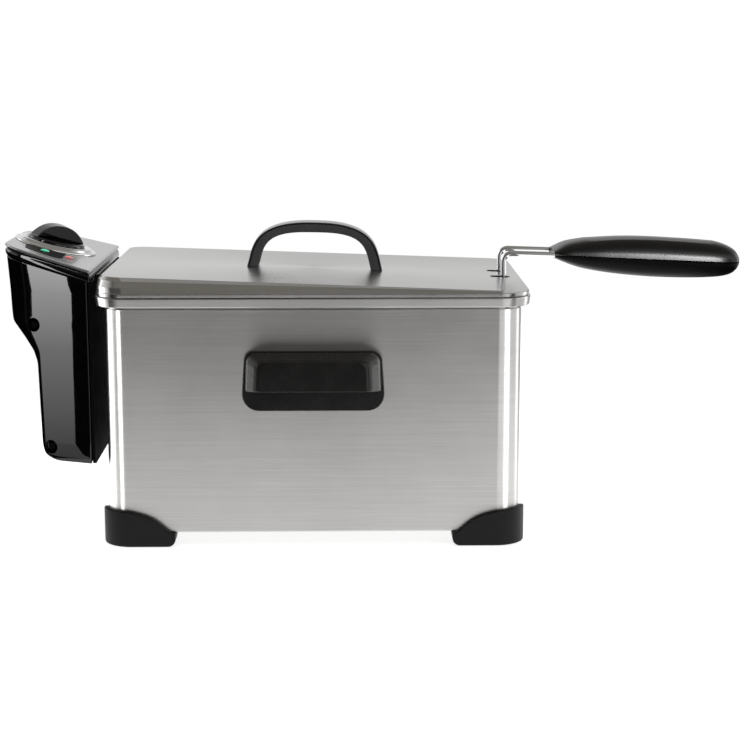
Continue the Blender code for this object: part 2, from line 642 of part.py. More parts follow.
def build_control_shell():
    low = CONTROL_BOTTOM
    skin = [(0.2090, 0.0030, low, 0.0080, 0.0180), (0.2138, 0.0004, low + 0.0040, 0.0060, 0.0180),
            (0.2153, 0.0, low + 0.0120, 0.0050, 0.0180), (0.2172, 0.0, 0.1392, 0.0050, 0.0200),
            (0.2207, 0.0, 0.1478, 0.0100, 0.0260), (0.2269, 0.0, 0.1572, 0.0150, 0.0330),
            (0.2372, 0.0, 0.1704, 0.0230, 0.0460), (0.2392, 0.0, 0.1790, 0.0260, 0.0540),
            (0.2411, 0.0, 0.1950, 0.0260, 0.0540)]
    loops = [plan_loop(reach, inset, z, radii=(front, rear)) for reach, inset, z, front, rear in skin]
    loops.append(plan_loop(0.2434, 0.0, cap_height(0.0098)))
    wall = 0.0024
    loops.append(plan_loop(0.2434, wall, cap_height(0.0098)))
    hollow = [(0.2411, 0.1958, 0.0260, 0.0540), (0.2392, 0.1800, 0.0260, 0.0540),
              (0.2372, 0.1718, 0.0230, 0.0460), (0.2269, 0.1586, 0.0150, 0.0330),
              (0.2207, 0.1490, 0.0100, 0.0260), (0.2172, 0.1400, 0.0050, 0.0200),
              (0.2138, low + 0.0040, 0.0060, 0.0180)]
    loops += [plan_loop(reach, wall, z, radii=(front, rear)) for reach, z, front, rear in hollow]
    shell = loft("control_housing", loops, BLACK_GLOSS)
    boolean(shell, cutter_boxes("cut_control_leads", [(-0.180, -0.165, -0.0340, 0.0340, 0.1950, 0.2100)]))
    boolean(shell, cutter_cylinders("cut_reset_bore", [((-0.1930, 0.0, low), (0, 0, 1), 0.0040, 0.0200)], 14))
    gland, turn = gland_frame()
    bore = cutter_cylinders("cut_gland_bore", [((0, 0, 0), (0, 0, 1), 0.0056, 0.0200)], 14)
    bore.matrix_world = gland @ turn
    boolean(shell, bore)
    wells = []
    for x, z, sign in SCREW_WELLS:
        wells.append(((x, sign * side_half(x, sign), z), tuple(side_normal(sign)), 0.0056, 0.0032))
    boolean(shell, cutter_cylinders("cut_screw_wells", wells, 14))
    names = ("front_upper", "rear_upper", "front_lower", "rear_lower")
    for (centre, axis, radius, depth), name in zip(wells, names):
        screw = turned("cover_screw_" + name, [(0.0, -0.0004), (0.0022, -0.0004), (0.0030, -0.0012),
                                               (0.0030, -0.0013), (0.0, -0.0013)], ZINC, 12)
        turn = Vector((0, 0, 1)).rotation_difference(Vector(axis)).to_matrix().to_4x4()
        screw.matrix_world = Matrix.Translation(centre) @ turn


def build_back_plate():
    half = CONTROL_DEPTH
    corners = [(-half, CONTROL_BOTTOM), (half, CONTROL_BOTTOM), (half, 0.2037), (-half, 0.2037)]
    outline = rounded(corners, [0.0040, 0.0040, 0.0010, 0.0010], 3)
    plate = slab("control_back_plate", outline, CONTROL_X - 0.0021, CONTROL_X, BLACK_SATIN)
    turn = Matrix(((0, 0, 1, 0), (1, 0, 0, 0), (0, 1, 0, 0), (0, 0, 0, 1)))
    plate.matrix_world = turn
    boolean(plate, cutter_boxes("cut_plate_leads", [(-0.180, -0.165, -0.0340, 0.0340, 0.1950, 0.2100)]))


def dial_frame():
    """Frame on the tilted panel: origin under the dial, Z along its normal."""
    tilt = Matrix.Rotation(math.atan(CONTROL_SLOPE), 4, "Y")
    return Matrix.Translation((DIAL_X, 0.0, control_height(DIAL_X))) @ tilt


def build_panel():
    edge = [(0.2435, 0.0, 0.0095), (0.2446, 0.0, 0.0060), (0.2442, 0.0006, 0.0036), (0.2434, 0.0014, 0.0030)]
    loops = [plan_loop(reach, inset, cap_height(drop), CONTROL_X) for reach, inset, drop in edge]
    loops.append(plan_loop(0.2434, 0.0120, cap_height(0.0030), CONTROL_X))
    loops.append(plan_loop(0.2434, 0.0120, cap_height(0.0095), CONTROL_X))
    loft("panel_bezel", loops, BLACK_GLOSS, ring=True)
    top = [(0.2434, 0.0006, 0.0027), (0.2446, 0.0, 0.0019), (0.2446, 0.0, 0.0009), (0.2440, 0.0008, 0.0)]
    loops = [plan_loop(reach, inset, cap_height(drop), CONTROL_X) for reach, inset, drop in top]
    plate = loft("panel_plate", loops, SILVER_PLASTIC)
    hole = cutter_cylinders("cut_shaft_hole", [((0, 0, 0), (0, 0, 1), 0.0042, 0.02)], 14)
    hole.matrix_world = dial_frame()
    boolean(plate, hole)


def build_dial():
    frame = dial_frame()
    ring = turned("dial_ring", [(0.0242, 0.0003), (0.0242, 0.0020), (0.0250, 0.0034), (0.0278, 0.0035),
                                (0.0298, 0.0018), (0.0318, 0.0016), (0.0330, 0.0003)], CHROME, 28)
    ring.matrix_world = frame
    knob = turned("dial_knob", [(0.0, 0.0060), (0.0205, 0.0060), (0.0226, 0.0044), (0.0230, 0.0012),
                                (0.0, 0.0012)], BLACK_GLOSS, 28)
    knob.matrix_world = frame
    arc = []
    for k in range(13):
        a = math.pi * k / 12
        arc.append((0.0205 * math.cos(a), 0.0050 + 0.0120 * math.sin(a)))
    blade = slab("cut_knob_blade", arc + [(-0.0205, 0.0030), (0.0205, 0.0030)], -0.0070, 0.0070, None)
    round_edges(blade, 0.0016, 1, 50)
    turn = Matrix.Rotation(math.radians(32), 4, "Z") @ Matrix.Rotation(math.pi / 2, 4, "X")
    blade.matrix_world = frame @ turn
    boolean(knob, blade, "UNION")
    bore = cutter_cylinders("cut_knob_bore", [((0, 0, 0.0012), (0, 0, 1), 0.0034, 0.0130)], 14)
    bore.matrix_world = frame
    boolean(knob, bore)
    shaft = turned("dial_shaft", [(0.0, 0.0070), (0.0030, 0.0070), (0.0030, -0.0120), (0.0, -0.0120)],
                   ZINC, 12)
    shaft.matrix_world = frame
    body = turned("thermostat", [(0.0, -0.0123), (0.0150, -0.0123), (0.0160, -0.0140), (0.0160, -0.0300),
                                 (0.0, -0.0300)], BAKELITE, 16)
    body.matrix_world = frame
    for name, x, y, look in (("lamp_green", -0.0015, -0.0440, GREEN), ("lamp_red", 0.0190, -0.0500, RED)):
        lens = turned(name, [(0.0, 0.0016), (0.0022, 0.0014), (0.0036, 0.0008), (0.0036, 0.0003),
                             (0.0, 0.0003)], look, 16)
        lens.matrix_world = frame @ Matrix.Translation((x, y, 0.0))


def build_control_inside():
    cut = turned("thermal_cutout", [(0.0, 0.0860), (0.0080, 0.0860), (0.0080, 0.0760), (0.0100, 0.0760),
                                    (0.0100, 0.0720), (0.0, 0.0720)], BAKELITE, 16)
    cut.matrix_world = Matrix.Translation((-0.1930, 0.0, 0.0))
    button = turned("reset_button", [(0.0, 0.0700), (0.0034, 0.0700), (0.0034, 0.0600), (0.0028, 0.0590),
                                     (0.0, 0.0590)], RED, 14)
    button.matrix_world = Matrix.Translation((-0.1930, 0.0, 0.0))
    gland = [(0.0, 0.0110), (0.0044, 0.0110), (0.0072, 0.0090), (0.0084, 0.0050), (0.0084, 0.0004),
             (0.0052, 0.0004), (0.0052, -0.0060), (0.0, -0.0060)]
    inlet = turned("cable_gland", gland, BLACK_SATIN, 16)
    place, turn = gland_frame()
    inlet.matrix_world = place @ turn
    bore = cutter_cylinders("cut_gland_mouth", [((0, 0, 0.0), (0, 0, 1), 0.0036, 0.0400)], 12)
    bore.matrix_world = place @ turn
    boolean(inlet, bore)
    box("terminal_block", -0.2050, -0.1830, -0.0420, -0.0100, 0.1200, 0.1360, CERAMIC, 0.0012)
    box("relay", -0.2050, -0.1830, 0.0100, 0.0420, 0.1200, 0.1450, BAKELITE, 0.0012)


def build_element():
    legs = -0.1395
    reach = 0.1080
    z_lead = 0.1998
    z_low = 0.0560
    corners = [(-0.1960, 0.0240, z_lead), (legs, 0.0240, z_lead), (legs, 0.0240, z_low),
               (-0.1180, 0.0280, z_low), (-0.0960, 0.0640, z_low), (reach, 0.0640, z_low),
               (reach, 0.0220, z_low), (-0.0900, 0.0220, z_low)]
    back = [(x, -y, z) for x, y, z in reversed(corners)]
    path = bend(corners + back, 0.0090, 3)
    rod("heating_element", path, 0.0030, ELEMENT, 2)
    probe = bend([(-0.1960, 0.0, z_lead), (legs, 0.0, z_lead), (legs, 0.0, 0.0660), (-0.0620, 0.0, 0.0660)],
                 0.0070, 4)
    rod("sensor_tube", probe, 0.0016, BRASS, 1)
    outline = [(-0.1705, 0.2030), (-0.1345, 0.2030), (-0.1345, 0.0700), (-0.1335, 0.0700), (-0.1335, 0.2040),
               (-0.1705, 0.2040)]
    guard = slab("element_bracket", outline, -0.0360, 0.0360, STEEL)
    guard.matrix_world = Matrix.Rotation(math.pi / 2, 4, "X")


# ---------------------------------------------------------------- assembly
JOINTS = {"pan_lift": (0.0, 0.0, RIM_Z0, ("oil_pan",)),
          "control_lift": (-0.2000, 0.0, 0.1998, ()),
          "basket_lift": (BASKET_X, 0.0, 0.1752, ("basket_shell", "basket_rim", "basket_foot_front",
                                                  "basket_foot_rear", "handle_socket")),
          "lid_lift": (0.0, 0.0, LID_Z0, ("lid_shell", "lid_handle", "lid_screw_left", "lid_screw_right")),
          "handle_lift": (WIRE_X, 0.0, 0.2186, ("handle_wire_front", "handle_wire_rear", "grip_upper",
                                                "grip_lower", "grip_screw"))}
CONTROL_NODES = ("control_housing", "control_back_plate", "panel_bezel", "panel_plate", "dial_ring",
                 "thermostat", "lamp_green", "lamp_red", "thermal_cutout", "cable_gland",
                 "terminal_block", "relay", "heating_element", "sensor_tube", "element_bracket",
                 "cover_screw_front_upper", "cover_screw_front_lower", "cover_screw_rear_upper",
                 "cover_screw_rear_lower")


def parent_keep(ob, parent):
    here = ob.matrix_world.copy()
    ob.parent = parent
    ob.matrix_parent_inverse = parent.matrix_world.inverted()
    ob.matrix_world = here


def assemble():
    bpy.context.view_layer.update()
    root = bpy.data.objects.new("fryer", None)
    COLLECTION.objects.link(root)
    pieces = [ob for ob in COLLECTION.objects if ob.type in {"MESH", "CURVE"}]
    holders = {}
    for name, (x, y, z, nodes) in JOINTS.items():
        holder = bpy.data.objects.new(name, None)
        COLLECTION.objects.link(holder)
        holder.matrix_world = Matrix.Translation((x, y, z))
        for node in nodes + (CONTROL_NODES if name == "control_lift" else ()):
            holders[node] = holder
    reset_frame = Matrix.Translation((-0.1930, 0.0, 0.0600))
    for name, matrix, nodes in (("dial_turn", dial_frame(), ("dial_knob", "dial_shaft")),
                                ("reset_press", reset_frame, ("reset_button",))):
        holder = bpy.data.objects.new(name, None)
        COLLECTION.objects.link(holder)
        holder.matrix_world = matrix
        for node in nodes:
            holders[node] = holder
    bpy.context.view_layer.update()
    for ob in pieces:
        parent_keep(ob, holders.get(ob.name, root))
    chain = (("pan_lift", root), ("control_lift", bpy.data.objects["pan_lift"]),
             ("basket_lift", bpy.data.objects["control_lift"]), ("lid_lift", bpy.data.objects["basket_lift"]),
             ("handle_lift", bpy.data.objects["lid_lift"]), ("dial_turn", bpy.data.objects["control_lift"]),
             ("reset_press", bpy.data.objects["control_lift"]))
    for name, parent in chain:
        parent_keep(bpy.data.objects[name], parent)
    for ob in list(CUTTERS.objects):
        parent_keep(ob, root)
    root.location.x = SHIFT_X
    bpy.context.view_layer.update()


clear_scene()
COLLECTION = make_collection("deep_fryer")
CUTTERS = make_collection("cutters")
build_housing()
build_base_plate()
build_feet()
build_side_grips()
build_pan()
build_element()
build_control_shell()
build_back_plate()
build_panel()
build_dial()
build_control_inside()
build_basket()
build_socket()
build_lid()
build_lid_handle()
build_handle()
assemble()
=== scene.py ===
"""Looks of the deep fryer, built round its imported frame. Metres, +Z up."""
import math

import bmesh
import bpy
from mathutils import Matrix, Vector


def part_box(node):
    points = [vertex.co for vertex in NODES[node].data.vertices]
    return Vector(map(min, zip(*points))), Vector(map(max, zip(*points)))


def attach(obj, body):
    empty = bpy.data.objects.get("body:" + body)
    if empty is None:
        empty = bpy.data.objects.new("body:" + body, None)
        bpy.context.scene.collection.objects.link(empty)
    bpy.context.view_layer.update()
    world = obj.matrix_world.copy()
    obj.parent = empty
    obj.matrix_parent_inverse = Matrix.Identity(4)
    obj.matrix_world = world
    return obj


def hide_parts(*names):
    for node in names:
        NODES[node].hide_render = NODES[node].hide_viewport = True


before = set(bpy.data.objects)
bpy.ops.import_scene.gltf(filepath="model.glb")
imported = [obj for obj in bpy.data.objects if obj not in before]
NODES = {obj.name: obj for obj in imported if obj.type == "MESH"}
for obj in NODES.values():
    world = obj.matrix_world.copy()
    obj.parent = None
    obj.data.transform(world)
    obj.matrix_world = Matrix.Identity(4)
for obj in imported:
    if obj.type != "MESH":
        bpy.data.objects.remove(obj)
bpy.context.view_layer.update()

LOW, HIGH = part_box("housing_shell")
SHIFT = (LOW.x + HIGH.x) / 2.0

# Dimensions shared with the frame, measured from the middle of the body
BODY_HX = (HIGH.x - LOW.x) / 2.0
BODY_HY = (HIGH.y - LOW.y) / 2.0
BODY_R = 0.0190
BODY_Z0 = LOW.z
BODY_Z1 = HIGH.z
SHEET = 0.0009
# The wall ends this far below the frame's, which leaves the dark line under the rim
RIM_SHADOW = 0.0020
RIM_HX = 0.1675
RIM_HY = 0.1145
RIM_Z0 = 0.1883
RIM_Z1 = 0.1953
LID_Z0 = 0.1957
LID_HX = 0.1665
LID_HY = 0.1136
ARCH_SPLAY = 0.17
LID_LEFT_Z = 0.2111
LID_RIGHT_Z = 0.1992
WIRE_X = 0.1530
WIRE_Y = 0.0180
WIRE_R = 0.0022
SLOT_X = (0.1427, 0.1578)
SLOT_HALF = 0.0036
SLOT_R = 0.0034
LUG_X = (-0.030, 0.030)
CONTROL_X = -0.1710
CONTROL_Z = 0.2135
CONTROL_SLOPE = 0.25
CONTROL_DEPTH = 0.0885
CONTROL_TAPERS = {-1: 0.40, 1: 0.12}
CONTROL_BOTTOM = 0.0612
CONTROL_TOP_RADII = (0.0260, 0.0540)
DIAL_X = -0.2110
KNOB_TURN = 32
POINTER_TURN = -70
# Cover screws: X, Z and side
SCREW_WELLS = ((-0.2190, 0.1690, -1), (-0.1940, 0.1690, 1), (-0.2078, 0.0722, -1), (-0.1940, 0.0722, 1))
BASKET_X = 0.0040
GAP = 0.0003
SIDES = ((-1, "front"), (1, "rear"))


# ---- materials
def link(tree, a, out, b, into):
    tree.links.new(a.outputs[out], b.inputs[into])


def noise(tree, coords, scale, detail, rough):
    """Noise over object coordinates stretched by one scale or by a scale for each axis."""
    mapping = tree.nodes.new("ShaderNodeMapping")
    mapping.inputs["Scale"].default_value = scale if isinstance(scale, tuple) else (scale,) * 3
    link(tree, coords, "Object", mapping, "Vector")
    tex = tree.nodes.new("ShaderNodeTexNoise")
    tex.inputs["Scale"].default_value = 1.0
    tex.inputs["Detail"].default_value = detail
    tex.inputs["Roughness"].default_value = rough
    link(tree, mapping, "Vector", tex, "Vector")
    return tex


def ramp(tree, source, out, low, high, a=0.3, b=0.7):
    """Value spread from low to high as the source goes from a to b."""
    node = tree.nodes.new("ShaderNodeMapRange")
    node.inputs["From Min"].default_value = a
    node.inputs["From Max"].default_value = b
    node.inputs["To Min"].default_value = low
    node.inputs["To Max"].default_value = high
    link(tree, source, out, node, "Value")
    return node


def mixed(tree, factor, out, dark, light):
    node = tree.nodes.new("ShaderNodeMix")
    node.data_type = "RGBA"
    node.inputs[6].default_value = (*dark, 1.0)
    node.inputs[7].default_value = (*light, 1.0)
    link(tree, factor, out, node, 0)
    return node


def maths(tree, operation, second=None):
    node = tree.nodes.new("ShaderNodeMath")
    node.operation = operation
    if second is not None:
        node.inputs[1].default_value = second
    return node


def look(name, dark, light, metallic, rough, cloud, grain, bump, detail=2.0, **fixed):
    """Surface with clouded colour, uneven roughness and fine relief."""
    mat = bpy.data.materials.new(name)
    mat.use_nodes = True
    tree = mat.node_tree
    shader = tree.nodes["Principled BSDF"]
    shader.inputs["Metallic"].default_value = metallic
    for socket, value in fixed.items():
        shader.inputs[socket.replace("_", " ")].default_value = value
    coords = tree.nodes.new("ShaderNodeTexCoord")
    clouds = noise(tree, coords, cloud, 4.0, 0.6)
    fine = noise(tree, coords, grain, detail, 0.55)
    blend = maths(tree, "MULTIPLY_ADD", 0.5)
    link(tree, fine, "Fac", blend, 0)
    half = maths(tree, "MULTIPLY", 0.5)
    link(tree, clouds, "Fac", half, 0)
    link(tree, half, 0, blend, 2)
    tint = mixed(tree, ramp(tree, blend, "Value", 0.0, 1.0, 0.36, 0.64), "Result", dark, light)
    link(tree, tint, 2, shader, "Base Color")
    spread = ramp(tree, clouds, "Fac", rough[0], rough[1])
    link(tree, spread, "Result", shader, "Roughness")
    relief = tree.nodes.new("ShaderNodeBump")
    relief.inputs["Distance"].default_value = bump
    link(tree, fine, "Fac", relief, "Height")
    link(tree, relief, "Normal", shader, "Normal")
    return mat


def brushed(name, dark, light, rough, along, bump=0.000006, aniso=0.75):
    """Brushed sheet whose grain runs along the axis with the small scale."""
    return look(name, dark, light, 1.0, rough, 9, along, bump, 3.0, Anisotropic=aniso,
                Anisotropic_Rotation=0.25)


STEEL = brushed("brushed_steel", (0.545, 0.540, 0.529), (0.655, 0.648, 0.637), (0.31, 0.35), (14, 14, 1500),
                aniso=0.95)
LID_STEEL = brushed("brushed_lid_steel", (0.50, 0.496, 0.486), (0.58, 0.576, 0.566), (0.22, 0.28),
                    (14, 1500, 1500), 0.000002, 0.5)
BRACKET_STEEL = look("strip_steel", (0.48, 0.475, 0.465), (0.60, 0.595, 0.585), 1.0, (0.25, 0.38), 30,
                     (700, 60, 700), 0.000006)
ZINC = look("zinc_plate", (0.42, 0.42, 0.41), (0.58, 0.58, 0.56), 1.0, (0.28, 0.46), 130, 1600, 0.000010)
CHROME = look("chrome", (0.76, 0.76, 0.77), (0.82, 0.82, 0.83), 1.0, (0.05, 0.12), 60, 700, 0.0000015)
WIRE = look("basket_wire", (0.60, 0.60, 0.60), (0.72, 0.72, 0.72), 1.0, (0.16, 0.28), 90, 900, 0.000004)
ELEMENT = look("heater_sheath", (0.085, 0.080, 0.076), (0.20, 0.185, 0.17), 0.85, (0.34, 0.52), 70, 1400,
               0.000012)
BRASS = look("brass", (0.50, 0.36, 0.14), (0.66, 0.49, 0.22), 1.0, (0.20, 0.36), 80, 1200, 0.000006)
PIANO = look("piano_black", (0.0010, 0.0010, 0.0011), (0.0022, 0.0022, 0.0024), 0.0, (0.008, 0.020), 25, 160,
             0.0000006, Specular_IOR_Level=0.5)
SATIN = look("satin_black", (0.0030, 0.0028, 0.0026), (0.0065, 0.0060, 0.0056), 0.0, (0.24, 0.29), 60, 2600,
             0.000003, Specular_IOR_Level=0.42)
GRIP = look("grip_black", (0.0010, 0.0010, 0.0010), (0.0020, 0.0020, 0.0019), 0.0, (0.265, 0.285), 50, 2600,
            0.000003, Specular_IOR_Level=0.42)
WINDOW = look("window_black", (0.002, 0.002, 0.002), (0.004, 0.004, 0.004), 0.0, (0.30, 0.40), 50, 900,
              0.000002, Specular_IOR_Level=0.10, IOR=1.2)
FOOT_BLACK = look("foot_black", (0.0016, 0.0016, 0.0016), (0.0036, 0.0036, 0.0034), 0.0, (0.42, 0.50), 60,
                  2400, 0.000008, Specular_IOR_Level=0.20)
GRIP_UNDER = look("grip_black_under", (0.0010, 0.0010, 0.0010), (0.0022, 0.0022, 0.0021), 0.0, (0.34, 0.40),
                  50, 2600, 0.000004, Specular_IOR_Level=0.10)
# Black with its reflection cut almost to nothing: partly the back plate's real black, partly painted shade
# in the gap beside the body and in the screw wells.
BLACK_PAINTED_SHADE = look("plate_black", (0.002, 0.002, 0.002), (0.004, 0.004, 0.004), 0.0, (0.60, 0.70), 60, 2200,
                   0.000016, Specular_IOR_Level=0.02)
CHARCOAL = look("charcoal", (0.046, 0.046, 0.047), (0.064, 0.064, 0.065), 0.0, (0.16, 0.22), 60, 2600,
                0.000010)
SILVER = look("silver_lacquer", (0.27, 0.27, 0.272), (0.33, 0.33, 0.332), 0.75, (0.20, 0.25), 35, 3200,
              0.000001, Coat_Weight=0.3, Coat_Roughness=0.06)
BAKELITE = look("bakelite", (0.022, 0.017, 0.014), (0.042, 0.032, 0.026), 0.0, (0.38, 0.55), 90, 1500,
                0.000014)
CERAMIC = look("steatite", (0.70, 0.67, 0.60), (0.84, 0.82, 0.77), 0.0, (0.38, 0.55), 120, 1800, 0.000020)
RUBBER = look("rubber", (0.010, 0.010, 0.010), (0.020, 0.019, 0.018), 0.0, (0.70, 0.88), 90, 1300, 0.000030)
GREEN = look("green_lens", (0.03, 0.40, 0.24), (0.16, 0.68, 0.46), 0.0, (0.06, 0.12), 300, 900, 0.000006,
             Transmission_Weight=0.25, IOR=1.49)
RED = look("red_lens", (0.42, 0.08, 0.09), (0.66, 0.24, 0.24), 0.0, (0.06, 0.12), 300, 900, 0.000006,
           Transmission_Weight=0.25, IOR=1.49)


# ---- helpers
def rounded(corners, radii, seg=8):
    """Points of a polygon whose corners are replaced by arcs."""
    points = []
    count = len(corners)
    for i in range(count):
        here = Vector(corners[i])
        back = (Vector(corners[i - 1]) - here).normalized()
        ahead = (Vector(corners[(i + 1) % count]) - here).normalized()
        half = back.angle(ahead) / 2.0
        radius = radii[i]
        centre = here + (back + ahead).normalized() * radius / math.sin(half)
        start = here + back * radius / math.tan(half) - centre
        end = here + ahead * radius / math.tan(half) - centre
        a0 = math.atan2(start.y, start.x)
        turn = math.atan2(end.y, end.x) - a0
        turn = (turn + math.pi) % (2.0 * math.pi) - math.pi
        for k in range(seg + 1):
            a = a0 + turn * k / seg
            points.append((centre.x + radius * math.cos(a), centre.y + radius * math.sin(a)))
    return points


def rect_loop(hx, hy, radius, z, seg=14, cx=0.0):
    """Rounded rectangle at height z, which may be a function of x."""
    corners = [(cx - hx, -hy), (cx + hx, -hy), (cx + hx, hy), (cx - hx, hy)]
    flat = rounded(corners, [radius] * 4, seg)
    return [(x, y, z(x) if callable(z) else z) for x, y in flat]


def soften(rows, reach, steps=4, closed=False, keep=()):
    """Rows of numbers with each inner corner swapped for a small curve."""
    out = []
    count = len(rows)
    for i in range(count):
        here = Vector(rows[i])
        if not closed and i in (0, count - 1) or i in keep:
            out.append(tuple(here))
            continue
        back = Vector(rows[i - 1]) - here
        ahead = Vector(rows[(i + 1) % count]) - here
        a = here + back * min(0.45, reach / max(back.length, 1e-9))
        b = here + ahead * min(0.45, reach / max(ahead.length, 1e-9))
        for k in range(steps + 1):
            t = k / steps
            out.append(tuple(a * (1 - t) ** 2 + here * 2 * t * (1 - t) + b * t * t))
    return out


def spline(stations, steps):
    """Smooth rows through the given rows (Catmull-Rom)."""
    rows = []
    count = len(stations)
    for i in range(count - 1):
        p0 = Vector(stations[max(i - 1, 0)])
        p1 = Vector(stations[i])
        p2 = Vector(stations[i + 1])
        p3 = Vector(stations[min(i + 2, count - 1)])
        for k in range(steps):
            t = k / steps
            rows.append((p1 * 2 + (p2 - p0) * t + (p0 * 2 - p1 * 5 + p2 * 4 - p3) * t * t
                         + (p1 * 3 - p0 - p2 * 3 + p3) * t ** 3) * 0.5)
    rows.append(Vector(stations[-1]))
    return rows


def new_object(name, data):
    """Object in the scene that holds the data."""
    ob = bpy.data.objects.new(name, data)
    bpy.context.scene.collection.objects.link(ob)
    return ob


def finished(name, bm):
    mesh = bpy.data.meshes.new(name)
    bm.to_mesh(mesh)
    bm.free()
    return new_object(name, mesh)


def loft(name, loops, ring=False):
    """Skin loops of equal length. A ring joins its last loop to its first."""
    bm = bmesh.new()
    rows = [[bm.verts.new(p) for p in loop] for loop in loops]
    count = len(rows[0])
    pairs = list(zip(rows[:-1], rows[1:]))
    if ring:
        pairs.append((rows[-1], rows[0]))
    for low, high in pairs:
        for i in range(count):
            j = (i + 1) % count
            bm.faces.new((low[i], low[j], high[j], high[i]))
    if not ring:
        bm.faces.new(list(reversed(rows[0])))
        bm.faces.new(rows[-1])
    bmesh.ops.remove_doubles(bm, verts=bm.verts, dist=0.000001)
    bmesh.ops.recalc_face_normals(bm, faces=bm.faces)
    return finished(name, bm)


def outward(ob, weld=0.0):
    """Weld the mesh and point its faces outwards."""
    bm = bmesh.new()
    bm.from_mesh(ob.data)
    if weld:
        bmesh.ops.remove_doubles(bm, verts=bm.verts, dist=weld)
    bmesh.ops.recalc_face_normals(bm, faces=bm.faces)
    bm.to_mesh(ob.data)
    bm.free()
    return ob


def applied(ob):
    """Replace the object's data by its evaluated mesh."""
    bpy.context.view_layer.update()
    seen = ob.evaluated_get(bpy.context.evaluated_depsgraph_get())
    mesh = bpy.data.meshes.new_from_object(seen)
    name = ob.name
    where = ob.matrix_world.copy()
    bpy.data.objects.remove(ob)
    solid = new_object(name, mesh)
    solid.data.transform(where)
    return solid


def boolean(ob, cutters, operation="DIFFERENCE"):
    """Cut or join at once, so nothing depends on the cutters later."""
    for cutter in cutters:
        mod = ob.modifiers.new(operation.lower(), "BOOLEAN")
        mod.operation = operation
        mod.solver = "EXACT"
        mod.object = cutter
    solid = applied(ob)
    for cutter in cutters:
        bpy.data.objects.remove(cutter)
    return solid


def bevel(ob, width, segments, angle=32):
    mod = ob.modifiers.new("rounded edges", "BEVEL")
    mod.width = width
    mod.segments = segments
    mod.limit_method = "ANGLE"
    mod.angle_limit = math.radians(angle)
    return applied(ob)


def shade(ob, angle=38):
    """Smooth faces that keep large flat faces flat."""
    mesh = ob.data
    mesh.polygons.foreach_set("use_smooth", [True] * len(mesh.polygons))
    mesh.set_sharp_from_angle(angle=math.radians(angle))
    if angle < 60:
        mod = ob.modifiers.new("weighted", "WEIGHTED_NORMAL")
        mod.keep_sharp = True
    return applied(ob)


def box(name, x0, x1, y0, y1, z0, z1):
    bm = bmesh.new()
    middle = Matrix.Translation(((x0 + x1) / 2, (y0 + y1) / 2, (z0 + z1) / 2))
    size = Matrix.Diagonal((x1 - x0, y1 - y0, z1 - z0, 1.0))
    bmesh.ops.create_cube(bm, size=1.0, matrix=middle @ size)
    return finished(name, bm)


def cylinder(name, centre, axis, radius, length, sides=40):
    bm = bmesh.new()
    turn = Vector((0, 0, 1)).rotation_difference(Vector(axis)).to_matrix().to_4x4()
    bmesh.ops.create_cone(bm, cap_ends=True, segments=sides, radius1=radius, radius2=radius, depth=length,
                          matrix=Matrix.Translation(Vector(centre)) @ turn)
    return finished(name, bm)


def turned(name, profile, matrix, steps=64):
    """Solid of revolution; the profile runs between two points on the axis or closes off it."""
    mesh = bpy.data.meshes.new(name)
    verts = [(r, 0.0, z) for r, z in profile]
    edges = [(i, i + 1) for i in range(len(verts) - 1)]
    if profile[0][0] > 0.0:
        edges.append((len(verts) - 1, 0))
    mesh.from_pydata(verts, edges, [])
    ob = new_object(name, mesh)
    spin = ob.modifiers.new("turned", "SCREW")
    spin.steps = steps
    spin.use_merge_vertices = True
    spin.merge_threshold = 0.000005
    solid = outward(applied(ob))
    solid.data.transform(matrix)
    return solid


def tubes(name, paths, radius, resolution, cyclic=False):
    """Round wires along lines of points, as one mesh."""
    curve = bpy.data.curves.new(name, "CURVE")
    curve.dimensions = "3D"
    curve.bevel_depth = radius
    curve.bevel_resolution = resolution
    curve.use_fill_caps = True
    for points in paths:
        line = curve.splines.new("POLY")
        line.points.add(len(points) - 1)
        for point, co in zip(line.points, points):
            point.co = (*co, 1.0)
        line.use_cyclic_u = cyclic
    return outward(applied(new_object(name, curve)), 0.000002)


def bend(points, radius, seg=10):
    """Round the inner corners of a line of points."""
    path = [Vector(points[0])]
    for a, b, c in zip(points[:-2], points[1:-1], points[2:]):
        here = Vector(b)
        back = (Vector(a) - here).normalized()
        ahead = (Vector(c) - here).normalized()
        half = back.angle(ahead) / 2.0
        middle = here + (back + ahead).normalized() * radius / math.sin(half)
        start = here + back * radius / math.tan(half) - middle
        end = here + ahead * radius / math.tan(half) - middle
        sweep = start.angle(end)
        for k in range(seg + 1):
            t = k / seg
            mix = start * math.sin((1.0 - t) * sweep) + end * math.sin(t * sweep)
            path.append(middle + mix / math.sin(sweep))
    path.append(Vector(points[-1]))
    return path


def extruded(name, outline, low, high, axis="Y"):
    """Flat outline given as (x, z) pairs, swept along Y, or as (x, y) along Z."""
    if axis == "Y":
        return loft(name, [[(a, end, b) for a, b in outline] for end in (low, high)])
    return loft(name, [[(a, b, end) for a, b in outline] for end in (low, high)])


def place(ob, body, mat, nodes=(), angle=38):
    ob = shade(ob, angle)
    ob.data.transform(Matrix.Translation((SHIFT, 0.0, 0.0)))
    ob.data.materials.clear()
    ob.data.materials.append(mat)
    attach(ob, body)
    if nodes:
        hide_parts(*nodes)


